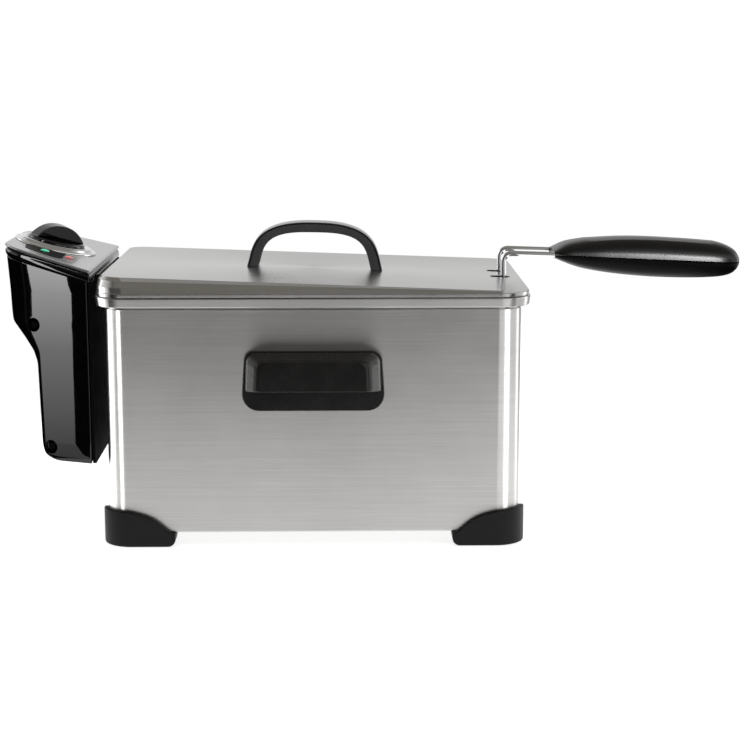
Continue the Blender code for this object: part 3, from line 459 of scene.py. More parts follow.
# ---- body
def make_housing():
    t = SHEET
    top = BODY_Z1 - RIM_SHADOW
    rows = [(0.0018, BODY_Z0), (0.0006, BODY_Z0 + 0.0005), (0.0, BODY_Z0 + 0.0018), (0.0, top - 0.0005),
            (0.0003, top), (t - 0.0002, top), (t, top - 0.0004), (t, BODY_Z0 + t), (0.0100, BODY_Z0 + t),
            (0.0100, BODY_Z0)]
    loops = [rect_loop(BODY_HX - i, BODY_HY - i, BODY_R - i, z, 18) for i, z in rows]
    shell = loft("steel_housing", loops, ring=True)
    cuts = []
    for side in (-1, 1):
        for x in LUG_X:
            y = sorted((side * 0.100, side * 0.112))
            cuts.append(box("cut", x - 0.0056, x + 0.0056, y[0], y[1], 0.1296, 0.1364))
    place(boolean(shell, cuts), "body", STEEL, ["housing_shell"])


def foot_path(out, steps=14):
    """Points round one body corner, offset outwards, from tip to tip."""
    length = 0.0530
    straights = [0.0, 0.0004, 0.0010, 0.0018, 0.0028, 0.0040, 0.0052, 0.0066, 0.0090, 0.0120, 0.0150, 0.0180,
                 0.0220, 0.0270]
    points = [(s, BODY_HX - length + s, BODY_HY + out) for s in straights]
    corner_x = BODY_HX - BODY_R
    corner_y = BODY_HY - BODY_R
    radius = BODY_R + out
    reach = length - BODY_R
    for k in range(steps + 1):
        a = math.pi / 2 * (1.0 - k / steps)
        points.append((reach + BODY_R * k / steps, corner_x + radius * math.cos(a),
                       corner_y + radius * math.sin(a)))
    end = 2.0 * reach + BODY_R
    points += [(end - s, BODY_HX + out, BODY_HY - length + s) for s in reversed(straights)]
    return [(min(s, end - s), x, y) for s, x, y in points]


FOOT_TOP = [(-0.006, 0.0060), (0.0, 0.0102), (0.005, 0.0132), (0.0095, 0.0172), (0.015, 0.0214),
            (0.021, 0.0246), (0.032, 0.0280), (0.042, 0.0298), (0.060, 0.0300)]


def foot_top(t):
    """Smooth height of a foot's upper edge at t along it from its tip."""
    for i in range(1, len(FOOT_TOP) - 1):
        (t0, z0), (t1, z1) = FOOT_TOP[i], FOOT_TOP[i + 1]
        if t <= t1 or i == len(FOOT_TOP) - 2:
            before = (z1 - FOOT_TOP[i - 1][1]) / (t1 - FOOT_TOP[i - 1][0])
            ahead = FOOT_TOP[min(i + 2, len(FOOT_TOP) - 1)]
            after = (ahead[1] - z0) / (ahead[0] - t0)
            w = min((t - t0) / (t1 - t0), 1.0)
            span = t1 - t0
            return (z0 * (2 * w ** 3 - 3 * w ** 2 + 1) + z1 * (3 * w ** 2 - 2 * w ** 3)
                    + before * span * (w ** 3 - 2 * w ** 2 + w) + after * span * (w ** 3 - w ** 2))
    return FOOT_TOP[-1][1]


def foot_bottom(t):
    """Height of a foot's lower edge, which curves up to its tips."""
    curl = 0.0060
    if t >= curl:
        return 0.0008
    return 0.0008 + 0.0062 * (1.0 - math.sqrt(1.0 - (1.0 - t / curl) ** 2))


def make_feet():
    out = 0.0043
    paths = [foot_path(d) for d in (out, out - 0.0003, out - 0.0009, GAP, -0.0140)]
    corners = ((-1, -1, "front_left"), (1, -1, "front_right"), (1, 1, "rear_right"), (-1, 1, "rear_left"))
    for sx, sy, corner in corners:
        loops = []
        for a, b, c, d, e in zip(*paths):
            top = foot_top(a[0])
            low = foot_bottom(a[0])
            ledge = min(BODY_Z0 - GAP, top - 0.0002)
            section = [(a, low + 0.0010), (a, top - 0.0012), (b, top - 0.0004), (c, top), (d, top),
                       (d, ledge), (e, ledge), (e, low), (c, low), (b, low + 0.0003)]
            loops.append([(sx * p[1], sy * p[2], z) for p, z in section])
        foot = loft("corner_foot_" + corner, loops)
        px = sx * (BODY_HX - 0.0200)
        py = sy * (BODY_HY - 0.0150)
        foot = boolean(foot, [cylinder("cut", (px, py, 0.0), (0, 0, 1), 0.0068, 0.0050)])
        place(foot, "body", FOOT_BLACK, ["foot_" + corner], 34)


def grip_loop(row, side):
    """Outline of a side grip's hood: a trapezium with rounded upper corners."""
    half, z_low, z_high, radius, y, flare = row
    corners = [(-half - flare, z_low), (half + flare, z_low), (half, z_high), (-half, z_high)]
    flat = rounded(corners, [0.0012, 0.0012, radius, radius])
    return [(x, side * y, z) for x, z in flat]


def make_side_grips():
    face = BODY_HY + GAP
    middle = 0.1313
    for side, label in SIDES:
        corners = [(-0.0555, 0.1080), (0.0555, 0.1080), (0.0525, 0.1545), (-0.0525, 0.1545)]
        flat = rounded(corners, [0.0130, 0.0130, 0.0080, 0.0080], 10)
        loops = []
        for shrink, y in ((1.0, face), (1.0, face + 0.0014), (0.996, face + 0.0020), (0.985, face + 0.0024)):
            loops.append([(x * shrink, side * y, middle + (z - middle) * shrink) for x, z in flat])
        grip = loft("side_grip_moulding_" + label, loops)
        rows = [(0.0518, 0.1235, 0.1540, 0.0080, face + 0.0008, 0.0012),
                (0.0502, 0.1240, 0.1530, 0.0080, face + 0.0070, 0.0012),
                (0.0436, 0.1257, 0.1500, 0.0070, face + 0.0180, 0.0010),
                (0.0418, 0.1262, 0.1488, 0.0062, face + 0.0197, 0.0008),
                (0.0395, 0.1266, 0.1470, 0.0052, face + 0.0200, 0.0006)]
        hood = loft("hood", [grip_loop(row, side) for row in soften(rows, 0.0022, 4)])
        grip = boolean(grip, [hood], "UNION")
        rows = [(0.0485, 0.1050, 0.1500, 0.0060, face + 0.0026, 0.0012),
                (0.0470, 0.1050, 0.1494, 0.0060, face + 0.0080, 0.0012),
                (0.0405, 0.1050, 0.1468, 0.0050, face + 0.0168, 0.0010)]
        grip = boolean(grip, [loft("hollow", [grip_loop(row, side) for row in rows])])
        lugs = []
        for x in LUG_X:
            y = sorted((side * (face + 0.0010), side * 0.1035))
            lugs.append(box("lug", x - 0.0050, x + 0.0050, y[0], y[1], 0.1300, 0.1360))
        grip = boolean(grip, lugs, "UNION")
        place(grip, "body", SATIN, ["side_grip_" + label], 30)


# ---- oil pan
def make_pan():
    wall = [(0.1275, 0.0778, 0.0120, 0.0360), (0.1405, 0.0908, 0.0240, 0.0395),
            (0.1465, 0.0968, 0.0300, 0.0500), (0.1465, 0.0968, 0.0300, 0.1580),
            (0.1590, 0.1070, 0.0175, 0.1660), (0.1590, 0.1070, 0.0175, RIM_Z0)]
    rim = [(0.1590, 0.1070, 0.0175, RIM_Z0), (RIM_HX - 0.0010, RIM_HY - 0.0010, 0.0230, RIM_Z0),
           (RIM_HX, RIM_HY, 0.0240, RIM_Z1), (0.1581, 0.1061, 0.0166, RIM_Z1)]
    inside = [(0.1581, 0.1061, 0.0166, RIM_Z1), (0.1581, 0.1061, 0.0166, 0.1665),
              (0.1456, 0.0959, 0.0291, 0.1586), (0.1456, 0.0959, 0.0291, 0.0506),
              (0.1398, 0.0901, 0.0234, 0.0403), (0.1270, 0.0773, 0.0116, 0.0369)]
    rows = soften(wall, 0.0022, 4)[:-1] + soften(rim, 0.0009, 4) + soften(inside, 0.0022, 4)[1:]
    place(loft("drawn_pan", [rect_loop(hx, hy, r, z) for hx, hy, r, z in rows]), "pan",
          STEEL, ["oil_pan"], 50)


# ---- lid
def lid_top(x):
    """Height of the lid's sloping top."""
    return LID_LEFT_Z + (x + 0.1605) * (LID_RIGHT_Z - LID_LEFT_Z) / 0.3210


def lid_loop(row):
    """Rounded rectangle whose height follows the sloping top by a share."""
    hx, hy, radius, low, share = row
    return rect_loop(hx, hy, radius, lambda x: low + share * (lid_top(x) - LID_Z0), 16)


def slot_outline(side, grow=0.0):
    """Outline of the lid's slot for one wire of the basket handle."""
    left, right = SLOT_X[0] - grow, SLOT_X[1] + grow
    front = side * WIRE_Y - SLOT_HALF - grow
    rear = side * WIRE_Y + SLOT_HALF + grow
    return rounded([(left, front), (right, front), (right, rear), (left, rear)], [SLOT_R + grow] * 4)


def make_lid():
    z = LID_Z0
    outer = [(LID_HX - 0.0016, LID_HY - 0.0016, 0.0216, z, 0.0),
             (LID_HX - 0.0005, LID_HY - 0.0005, 0.0227, z, 0.0), (LID_HX, LID_HY, 0.0232, z + 0.0030, 0.0),
             (LID_HX - 0.0005, LID_HY - 0.0006, 0.0227, z + 0.0034, 0.0),
             (0.1663, 0.1117, 0.0226, z + 0.0022, 0.36), (0.1647, 0.1086, 0.0205, z + 0.0008, 0.78),
             (0.1618, 0.1040, 0.0150, z, 1.0), (0.1572, 0.0992, 0.0092, z, 1.0)]
    outer = soften(outer, 0.0006, 4)
    inner = [(0.1564, 0.0984, 0.0084, z - 0.0009, 1.0), (0.1602, 0.1022, 0.0122, z - 0.0009, 1.0),
             (0.1643, 0.1111, 0.0209, z + 0.0006, 0.0)]
    shell = loft("lid_pressing", [lid_loop(row) for row in inner + outer])
    cuts = [box("cut", -0.175, -0.152, -0.0390, 0.0390, 0.185, 0.2052)]
    for side in (-1, 1):
        cuts.append(extruded("cut", slot_outline(side), 0.190, 0.210, "Z"))
    shell = boolean(shell, cuts)
    place(shell, "lid", LID_STEEL, ["lid_shell"], 30)
    # Black rubber linings down the slot walls are painted shade, so the slots read as dark openings.
    lining = ((-0.0005, -0.0012), (-0.0005, 0.0001), (-0.0003, 0.0002), (0.0003, 0.0002), (0.0004, 0.0001),
              (-0.0001, -0.0012))
    for side, label in SIDES:
        loops = [[(x, y, lid_top(x) + rise) for x, y in slot_outline(side, grow)] for grow, rise in lining]
        place(loft("slot_lining_" + label, loops, ring=True), "lid", RUBBER, (), 60)


def arch_line(half, foot, crown, side_power, top_power, count):
    """Points of an arch from +X over the crown to -X, with splayed legs."""
    points = []
    for k in range(count + 1):
        a = math.pi * k / count
        c = math.cos(a)
        share = math.sin(a) ** (2.0 / top_power) if 0 < k < count else 0.0
        x = half * math.copysign(abs(c) ** (2.0 / side_power), c) * (1.0 + ARCH_SPLAY * (1.0 - share))
        z = foot + (crown - foot) * share - 0.02 * x
        points.append((x, max(z, lid_top(x) + GAP)))
    return points


def make_lid_handle():
    """Arch lofted between an outer and an inner line, with a groove along each face."""
    outer = arch_line(0.0470, 0.2045, 0.2430, 2.5, 4.0, 72)
    inner = arch_line(0.0390, 0.2045, 0.2347, 3.0, 4.6, 72)
    flank = [(0.0088, 0.0), (0.0096, 0.03), (0.0100, 0.09), (0.0100, 0.77), (0.0097, 0.785), (0.0066, 0.79),
             (0.0066, 0.92), (0.0096, 0.925), (0.0099, 0.94), (0.0097, 0.975), (0.0088, 1.0)]
    loops = []
    for (xo, zo), (xi, zi) in zip(outer, inner):
        section = [(-y, t) for y, t in flank] + [(y, t) for y, t in reversed(flank)]
        loops.append([(xi + (xo - xi) * t, y, zi + (zo - zi) * t) for y, t in section])
    place(loft("arch_handle", loops), "lid", CHARCOAL, ["lid_handle"], 40)


# ---- basket
BASKET_ROWS = [(0.1112, 0.0662, 0.0192, 0.0722), (0.1190, 0.0740, 0.0260, 0.0745),
               (0.1220, 0.0775, 0.0290, 0.0820), (0.1280, 0.0850, 0.0300, 0.1740)]
BASKET_WALL = soften(BASKET_ROWS, 0.0040, 4)


def basket_at(z):
    """Half sizes and corner radius of the basket wall at height z."""
    for low, high in zip(BASKET_WALL[:-1], BASKET_WALL[1:]):
        if z <= high[3]:
            t = max(0.0, (z - low[3]) / max(high[3] - low[3], 1e-9))
            return [low[i] + (high[i] - low[i]) * t for i in range(3)]
    return list(BASKET_WALL[-1][:3])


def make_basket():
    """Welded mesh: bent wires both ways, corner wires and rings."""
    wire = 0.00055
    pitch = 0.0060
    floor = BASKET_WALL[0][3]
    levels = [row[3] for row in BASKET_WALL[1:]]
    steps = [levels[0] + (levels[-1] - levels[0]) * k / 12 for k in range(1, 13)]
    levels = sorted(set(levels[:8] + steps))
    hx, hy, radius = BASKET_WALL[0][:3]
    paths = []
    for axis, half, other in ((0, hx, hy), (1, hy, hx)):
        count = int(half / pitch)
        for k in range(-count, count + 1):
            a = k * pitch
            if abs(a) <= half - radius:
                end = other
            else:
                d = abs(a) - (half - radius)
                end = other - radius + math.sqrt(max(radius ** 2 - d ** 2, 0.0))
            run = [(-end, floor), (end, floor)]
            if abs(a) <= half - radius:
                ups = [(basket_at(z)[1 - axis], z) for z in levels]
                run = [(-w, z) for w, z in reversed(ups)] + run + ups
            if axis == 0:
                paths.append([(BASKET_X + a, w, z) for w, z in run])
            else:
                paths.append([(BASKET_X + w, a, z) for w, z in run])
    for sx in (-1, 1):
        for sy in (-1, 1):
            for k in range(6):
                turn = math.pi / 2 * (k + 0.5) / 6
                line = []
                for z in [floor] + levels:
                    bx, by, r = basket_at(z)
                    line.append((BASKET_X + sx * (bx - r + r * math.cos(turn)),
                                 sy * (by - r + r * math.sin(turn)), z))
                paths.append(line)
    place(tubes("basket_wires", paths, wire, 1), "basket", WIRE, ["basket_shell"], 70)
    rings = []
    clear = 0.0009
    for k in range(17):
        z = floor + 0.0002 + (0.1735 - floor) * k / 16
        hx, hy, radius = basket_at(z)
        rings.append(rect_loop(hx + clear, hy + clear, radius + clear, z, 10, BASKET_X))
    place(tubes("basket_rings", rings, wire, 1, True), "basket", WIRE, (), 70)
    rim = [(p[0], p[1], 0.1752) for p in rect_loop(0.1296, 0.0866, 0.0310, 0.0, 12, BASKET_X)]
    place(tubes("basket_rim_wire", [rim], WIRE_R, 4, True), "basket", WIRE, ["basket_rim"], 70)
    for side, label in SIDES:
        y = side * 0.0480
        path = bend([(BASKET_X - 0.1100, y, 0.0712), (BASKET_X - 0.1070, y, 0.0690),
                     (BASKET_X + 0.1070, y, 0.0690), (BASKET_X + 0.1100, y, 0.0712)], 0.0040, 4)
        place(tubes("basket_runner_" + label, [path], 0.0019, 4), "basket", WIRE,
              ["basket_foot_" + label], 70)


def make_socket():
    """Folded bracket with two upright tubes for the handle's wires."""
    z0 = 0.1680
    z1 = 0.1840
    low = z0 - 0.0120
    high = z0 + 0.0045
    face = rounded([(-0.0260, low), (0.0260, low), (0.0260, high), (-0.0260, high)], [0.0030] * 4, 6)
    plate = extruded("socket_bracket", face, 0.1363, 0.1378)
    plate.data.transform(Matrix(((0, 1, 0, 0), (1, 0, 0, 0), (0, 0, 1, 0), (0, 0, 0, 1))))
    parts = []
    holes = []
    for side in (-1, 1):
        mid = side * WIRE_Y
        parts.append(box("arm", 0.1370, 0.1515, mid - 0.0012, mid + 0.0012, z0 + 0.0003, z0 + 0.0040))
        parts.append(cylinder("tube", (WIRE_X, mid, (z0 + z1) / 2), (0, 0, 1), 0.0032, z1 - z0, 32))
        holes.append(cylinder("bore", (WIRE_X, mid, (z0 + z1) / 2 + 0.0020), (0, 0, 1), 0.0026, z1 - z0, 32))
    bracket = boolean(plate, parts, "UNION")
    place(boolean(bracket, holes), "basket", BRACKET_STEEL, ["handle_socket"])


GRIP_ROWS = [(0.1945, 0.2206, 0.2138, 0.0208), (0.2040, 0.2256, 0.2096, 0.0226),
             (0.2160, 0.2281, 0.2055, 0.0232), (0.2300, 0.2299, 0.2026, 0.0236),
             (0.2450, 0.2310, 0.2004, 0.0236), (0.2600, 0.2313, 0.1988, 0.0235),
             (0.2760, 0.2309, 0.1976, 0.0233), (0.2920, 0.2299, 0.1970, 0.0231),
             (0.3080, 0.2286, 0.1968, 0.0228), (0.3220, 0.2269, 0.1971, 0.0222),
             (0.3320, 0.2248, 0.1979, 0.0212), (0.3395, 0.2218, 0.1998, 0.0192),
             (0.3436, 0.2188, 0.2030, 0.0165), (0.3458, 0.2155, 0.2066, 0.0125)]


GRIP_X = 0.1940
DISH_X = 0.2220
DISH_LENGTH = 0.1030


def seam_z(x):
    """Height of the sloping seam between the grip's halves."""
    return 0.2173 - (x - GRIP_X) * 0.0470


def closing(loop, steps):
    """Copies of a grip's end loop, shrunk and pushed along X to round the end off."""
    middle = seam_z(loop[0][0])
    return [[(x + push, y * shrink, middle + (z - middle) * shrink) for x, y, z in loop]
            for shrink, push in steps]


def grip_half(name, sign):
    """One moulded half of the basket handle's grip."""
    loops = []
    for x, top, low, half in spline(GRIP_ROWS, 6):
        seam = seam_z(x)
        rise = (top if sign > 0 else low) - seam
        edge = 0.0003 if abs(rise) > 0.0012 else 0.0
        loop = [(x, -(half - 0.0010), seam + sign * GAP * 0.5)]
        for k in range(29):
            a = math.pi * k / 28
            y = -math.copysign(abs(math.cos(a)) ** 0.78, math.cos(a)) * half
            up = math.sin(a) ** 0.80
            dish = 0.0
            if sign > 0 and DISH_X < x < DISH_X + DISH_LENGTH:
                along = math.sin(math.pi * (x - DISH_X) / DISH_LENGTH) ** 0.5
                across = max(0.0, 1.0 - (y / (half * 0.62)) ** 2)
                dish = 0.0012 * along * min(1.0, 3.0 * across)
            loop.append((x, y, seam + sign * (GAP * 0.5 + edge) + (rise - sign * edge) * up - dish))
        loop.append((x, half - 0.0010, seam + sign * GAP * 0.5))
        loops.append(loop)
    nose = closing(loops[0], ((0.90, -0.0007), (0.97, -0.0003)))
    tail = closing(loops[-1], ((0.90, 0.0004), (0.70, 0.0009), (0.40, 0.0012)))
    return loft(name, nose + loops + tail)


def make_handle():
    for side, label in SIDES:
        y = side * WIRE_Y
        path = bend([(WIRE_X, y, 0.1710), (WIRE_X, y, 0.2186), (GRIP_X, y, 0.2172), (0.2380, y, 0.2154)],
                    0.0065)
        place(tubes("basket_handle_wire_" + label, [path], WIRE_R, 8), "handle", CHROME,
              ["handle_wire_" + label], 70)
    tilt = (1.0, 0.0, -0.0411)
    for name, sign, mat in (("upper", 1, GRIP), ("lower", -1, GRIP_UNDER)):
        half = grip_half("grip_moulding_" + name, sign)
        cuts = [cylinder("cut", (0.2150, side * WIRE_Y, 0.2163), tilt, WIRE_R + 0.0003, 0.0560, 24)
                for side in (-1, 1)]
        if sign < 0:
            cuts.append(cylinder("cut", (0.2800, 0.0, 0.2000), (0, 0, 1), 0.0032, 0.0120, 24))
        place(boolean(half, cuts), "handle", mat, ["grip_" + name], 42)
    profile = [(0.0, -0.0010), (0.0011, -0.0010), (0.0011, 0.0), (0.0009, 0.0001), (0.0004, 0.0002),
               (0.0, 0.0003)]
    spot = Matrix.Translation((0.2625, -0.0214, 0.2064)) @ Matrix.Rotation(math.radians(100), 4, "X")
    plug = turned("grip_vent_plug", profile, spot, 24)
    place(plug, "handle", SATIN)


# ---- control unit
def control_height(x):
    return CONTROL_Z + CONTROL_SLOPE * (CONTROL_X - x)


def side_half(x, sign):
    """Half width of the control unit at x; the front side tapers more."""
    return CONTROL_DEPTH - CONTROL_TAPERS[sign] * (CONTROL_X - x)


def side_normal(sign):
    return Vector((-CONTROL_TAPERS[sign], sign, 0.0)).normalized()


def skin_loop(row, right=CONTROL_X - 0.0024):
    """Outline of the control unit, a blunt wedge that is widest beside the body.

    The row gives reach, inset, height, share of the sloping top, and front and rear corner radius.
    """
    reach, inset, low, share, front_radius, rear_radius = row
    near = right - inset
    far = -(reach - inset)
    front = inset / -side_normal(-1).y
    rear = inset / side_normal(1).y
    corners = [(near, front - side_half(near, -1)), (near, side_half(near, 1) - rear),
               (far, side_half(far, 1) - rear), (far, front - side_half(far, -1))]
    small = max(0.0016 - inset, 0.0006)
    flat = rounded(corners, [small, small, rear_radius - inset, max(front_radius - inset, 0.0008)], 14)
    return [(x, y, low + share * (control_height(x) - CONTROL_Z)) for x, y in flat]


def gland_frame():
    place_at = Matrix.Translation((-0.1930, side_half(-0.1930, 1), 0.0900))
    turn = Vector((0, 0, 1)).rotation_difference(side_normal(1)).to_matrix().to_4x4()
    return place_at @ turn


def make_control_shell():
    low = CONTROL_BOTTOM
    skin = [(0.2006, 0.0016, low, 0.0, 0.0080, 0.0180), (0.2070, 0.0010, low, 0.0, 0.0080, 0.0180),
            (0.2137, 0.0003, low + 0.0040, 0.0, 0.0060, 0.0180),
            (0.2153, 0.0, low + 0.0120, 0.0, 0.0050, 0.0180), (0.2172, 0.0, 0.1392, 0.0, 0.0050, 0.0200),
            (0.2207, 0.0, 0.1478, 0.0, 0.0100, 0.0260), (0.2277, 0.0, 0.1572, 0.0, 0.0150, 0.0330),
            (0.2386, 0.0, 0.1700, 0.0, 0.0230, 0.0460), (0.2396, 0.0, 0.1790, 0.0, 0.0250, 0.0520),
            (0.2404, 0.0, 0.1950, 0.0, 0.0260, 0.0540)]
    for reach, inset, drop in ((0.2424, 0.0, 0.0102), (0.2422, 0.0002, 0.0098), (0.2424, 0.0024, 0.0098)):
        skin.append((reach, inset, CONTROL_Z - drop, 1.0, *CONTROL_TOP_RADII))
    skin = soften(skin, 0.0035, 5, keep=(10, 11, 12))
    hollow = [(0.2404, 0.1958, 0.0260, 0.0540), (0.2396, 0.1800, 0.0250, 0.0520),
              (0.2380, 0.1718, 0.0230, 0.0460), (0.2269, 0.1588, 0.0150, 0.0330),
              (0.2207, 0.1492, 0.0100, 0.0260), (0.2172, 0.1402, 0.0050, 0.0200),
              (0.2138, low + 0.0040, 0.0060, 0.0180)]
    rows = skin + [(reach, 0.0024, z, 0.0, front, rear) for reach, z, front, rear in hollow]
    shell = loft("control_cover", [skin_loop(row) for row in rows])
    cuts = [box("cut", -0.180, -0.165, -0.0340, 0.0340, 0.1950, 0.2100),
            cylinder("cut", (-0.1930, 0.0, low), (0, 0, 1), 0.0040, 0.0200)]
    bore = cylinder("cut", (0, 0, 0), (0, 0, 1), 0.0056, 0.0200)
    bore.data.transform(gland_frame())
    cuts.append(bore)
    for x, z, sign in SCREW_WELLS:
        normal = side_normal(sign)
        mouth = Vector((x, sign * side_half(x, sign), z))
        cuts.append(cylinder("cut", mouth, normal, 0.0056, 0.0050, 40))
    place(boolean(shell, cuts), "control_unit", PIANO, ["control_housing"], 30)


def dial_frame():
    """Frame on the tilted panel: origin under the dial, Z along its normal."""
    tilt = Matrix.Rotation(math.atan(CONTROL_SLOPE), 4, "Y")
    return Matrix.Translation((DIAL_X, 0.0, control_height(DIAL_X))) @ tilt


def panel_row(reach, inset, drop):
    """Row of the panel's edge at a drop below the sloping top."""
    return reach, inset, CONTROL_Z - drop, 1.0, *CONTROL_TOP_RADII


def make_panel():
    edge = [(0.2424, 0.0004, 0.0094), (0.2430, 0.0, 0.0086), (0.2436, 0.0, 0.0066), (0.2436, 0.0002, 0.0052),
            (0.2432, 0.0008, 0.0038), (0.2424, 0.0018, 0.0030), (0.2424, 0.0120, 0.0030),
            (0.2424, 0.0120, 0.0095), (0.2424, 0.0030, 0.0095)]
    rows = soften([panel_row(*row) for row in edge], 0.0010, 3, closed=True)
    place(loft("control_bezel", [skin_loop(row, CONTROL_X) for row in rows], ring=True), "control_unit",
          PIANO, ["panel_bezel"], 60)
    edge = [(0.2424, 0.0030, 0.0027), (0.2430, 0.0006, 0.0026), (0.2436, 0.0, 0.0019), (0.2436, 0.0, 0.0010),
            (0.2432, 0.0005, 0.0002), (0.2426, 0.0016, 0.0), (0.2410, 0.0040, 0.0)]
    rows = soften([panel_row(*row) for row in edge], 0.0006, 3)
    plate = loft("control_plate", [skin_loop(row, CONTROL_X) for row in rows])
    hole = cylinder("cut", (0, 0, 0), (0, 0, 1), 0.0042, 0.02)
    hole.data.transform(dial_frame())
    place(boolean(plate, [hole]), "control_unit", SILVER, ["panel_plate"], 34)


def make_dial():
    seat = dial_frame()
    profile = [(0.0330, 0.0003), (0.0329, 0.0008), (0.0324, 0.0013), (0.0314, 0.0016), (0.0304, 0.0017),
               (0.0300, 0.0014), (0.0296, 0.0016), (0.0290, 0.0026), (0.0281, 0.0034), (0.0268, 0.0037),
               (0.0256, 0.0036), (0.0247, 0.0030), (0.0242, 0.0018), (0.0242, 0.0003)]
    place(turned("chrome_dial_ring", profile, seat, 96), "control_unit", CHROME, ["dial_ring"], 50)
    profile = [(0.0, 0.0060), (0.0205, 0.0060), (0.0216, 0.0057), (0.0224, 0.0050), (0.0228, 0.0040),
               (0.0230, 0.0012), (0.0, 0.0012)]
    base = turned("dial_knob_moulding", profile, Matrix.Identity(4), 96)
    half = 0.0212
    arc = []
    for k in range(41):
        x = half * math.cos(math.pi * k / 40)
        arc.append((x, 0.0048 + 0.0124 * (1.0 - (abs(x) / half) ** 2.3) ** 0.86))
    blade = extruded("blade", arc + [(-half, 0.0030), (half, 0.0030)], -0.0070, 0.0070)
    blade = bevel(blade, 0.0026, 6, 50)
    blade.data.transform(Matrix.Rotation(math.radians(KNOB_TURN), 4, "Z"))
    knob = boolean(base, [blade], "UNION")
    knob = boolean(knob, [cylinder("cut", (0, 0, 0.0012), (0, 0, 1), 0.0034, 0.0130)])
    knob.data.transform(seat)
    place(knob, "dial", PIANO, ["dial_knob"], 34)
    mark = bevel(box("dial_pointer", -0.0006, 0.0006, 0.0180, 0.0222, 0.0056, 0.0062), 0.0002, 2)
    mark.data.transform(seat @ Matrix.Rotation(math.radians(POINTER_TURN), 4, "Z"))
    place(mark, "dial", CHROME)
    for name, x, y, mat in (("green", -0.0015, -0.0440, GREEN), ("red", 0.0190, -0.0500, RED)):
        profile = [(0.0, 0.0017), (0.0012, 0.0016), (0.0024, 0.0013), (0.0033, 0.0009), (0.0036, 0.0005),
                   (0.0036, 0.0003), (0.0, 0.0003)]
        spot = seat @ Matrix.Translation((x, y, 0.0))
        place(turned("lens_" + name, profile, spot, 48), "control_unit", mat,
              ["lamp_" + name], 60)
    window = rounded([(-0.0195, -0.0260), (-0.0165, -0.0500), (0.0150, -0.0675), (0.0135, -0.0290)],
                     [0.0010, 0.0070, 0.0050, 0.0010])
    loops = []
    centre = Vector((-0.0020, -0.0450))
    for shrink, z in ((1.0, 0.0), (1.0, 0.00022), (0.985, 0.0003)):
        loops.append([(centre.x + (x - centre.x) * shrink, centre.y + (y - centre.y) * shrink, z)
                      for x, y in window])
    inlay = loft("lamp_window", loops)
    inlay.data.transform(seat)
    place(inlay, "control_unit", WINDOW)


def make_element():
    legs = -0.1395
    reach = 0.1080
    z_lead = 0.1998
    z_low = 0.0560
    corners = [(-0.1960, 0.0240, z_lead), (legs, 0.0240, z_lead), (legs, 0.0240, z_low),
               (-0.1180, 0.0280, z_low), (-0.0960, 0.0640, z_low), (reach, 0.0640, z_low),
               (reach, 0.0220, z_low), (-0.0900, 0.0220, z_low)]
    back = [(x, -y, z) for x, y, z in reversed(corners)]
    place(tubes("heater_loop", [bend(corners + back, 0.0090, 8)], 0.0030, 6), "control_unit",
          ELEMENT, ["heating_element"], 70)
    probe = bend([(-0.1960, 0.0, z_lead), (legs, 0.0, z_lead), (legs, 0.0, 0.0660), (-0.0620, 0.0, 0.0660)],
                 0.0070, 8)
    place(tubes("sensor_probe", [probe], 0.0016, 4), "control_unit", BRASS, ["sensor_tube"], 70)


# ---- nodes kept from the frame
KEPT = {"base_plate": ZINC, "control_back_plate": BLACK_PAINTED_SHADE, "thermostat": BAKELITE,
        "thermal_cutout": BAKELITE, "cable_gland": SATIN, "terminal_block": CERAMIC, "relay": BAKELITE,
        "element_bracket": BRACKET_STEEL, "dial_shaft": ZINC, "reset_button": RED, "lid_screw_left": ZINC,
        "lid_screw_right": ZINC, "grip_screw": ZINC}
for kept in ("front_left", "front_right", "rear_left", "rear_right"):
    KEPT["foot_pad_" + kept] = RUBBER
    KEPT["grip_clip_" + kept] = ZINC
# The cover screws take the unreflective black as painted shade in their wells.
for kept in ("front_upper", "front_lower", "rear_upper", "rear_lower"):
    KEPT["cover_screw_" + kept] = BLACK_PAINTED_SHADE


def dress_kept():
    for name, mat in KEPT.items():
        for held in NODES[name].material_slots:
            held.material = mat


# ---- studio
HOUSING = ("steel_housing",)
STEEL_SHEETS = HOUSING + ("drawn_pan", "lid_pressing")
# World strength above and below the band of AROUND
ABOVE = 0.24
BELOW = 0.05
FLOOR_CENTRE = (-0.02, 0.30, 0.0)
FLOOR_HALVES = (0.33, 0.72)
LENS = 83.79
CAMERA_AT = (0.0244, -1.4225, 0.3817)
CAMERA_YAW = 1.0
CAMERA_PITCH = 10.61
OVERHEAD_Z = 2.2
OVERHEAD_SIDE = 3.6
OVERHEAD_POWER = 115.0
# Studio brightness by direction: degrees from the front, then strength
AROUND = [(-180.0, 0.8), (-140.0, 0.9), (-132.0, 1.0), (-127.0, 2.8), (-115.0, 2.8), (-110.0, 1.1),
          (-70.0, 1.0), (-65.0, 0.09), (5.0, 0.09), (9.0, 0.5), (15.0, 1.1), (60.0, 1.1), (106.0, 1.1),
          (111.0, 2.6), (123.0, 2.6), (128.0, 0.8), (140.0, 0.5), (165.0, 0.7), (180.0, 0.8)]


def make_floor():
    bm = bmesh.new()
    spread = Matrix.Diagonal((*FLOOR_HALVES, 1.0, 1.0))
    bmesh.ops.create_grid(bm, x_segments=1, y_segments=1, size=1.0,
                          matrix=Matrix.Translation(FLOOR_CENTRE) @ spread)
    floor = finished("studio_floor", bm)
    mat = look("studio_white", (0.34, 0.34, 0.338), (0.37, 0.37, 0.368), 0.0, (0.60, 0.70), 3, 300, 0.00001,
               Emission_Strength=0.80)
    floor.data.materials.append(mat)


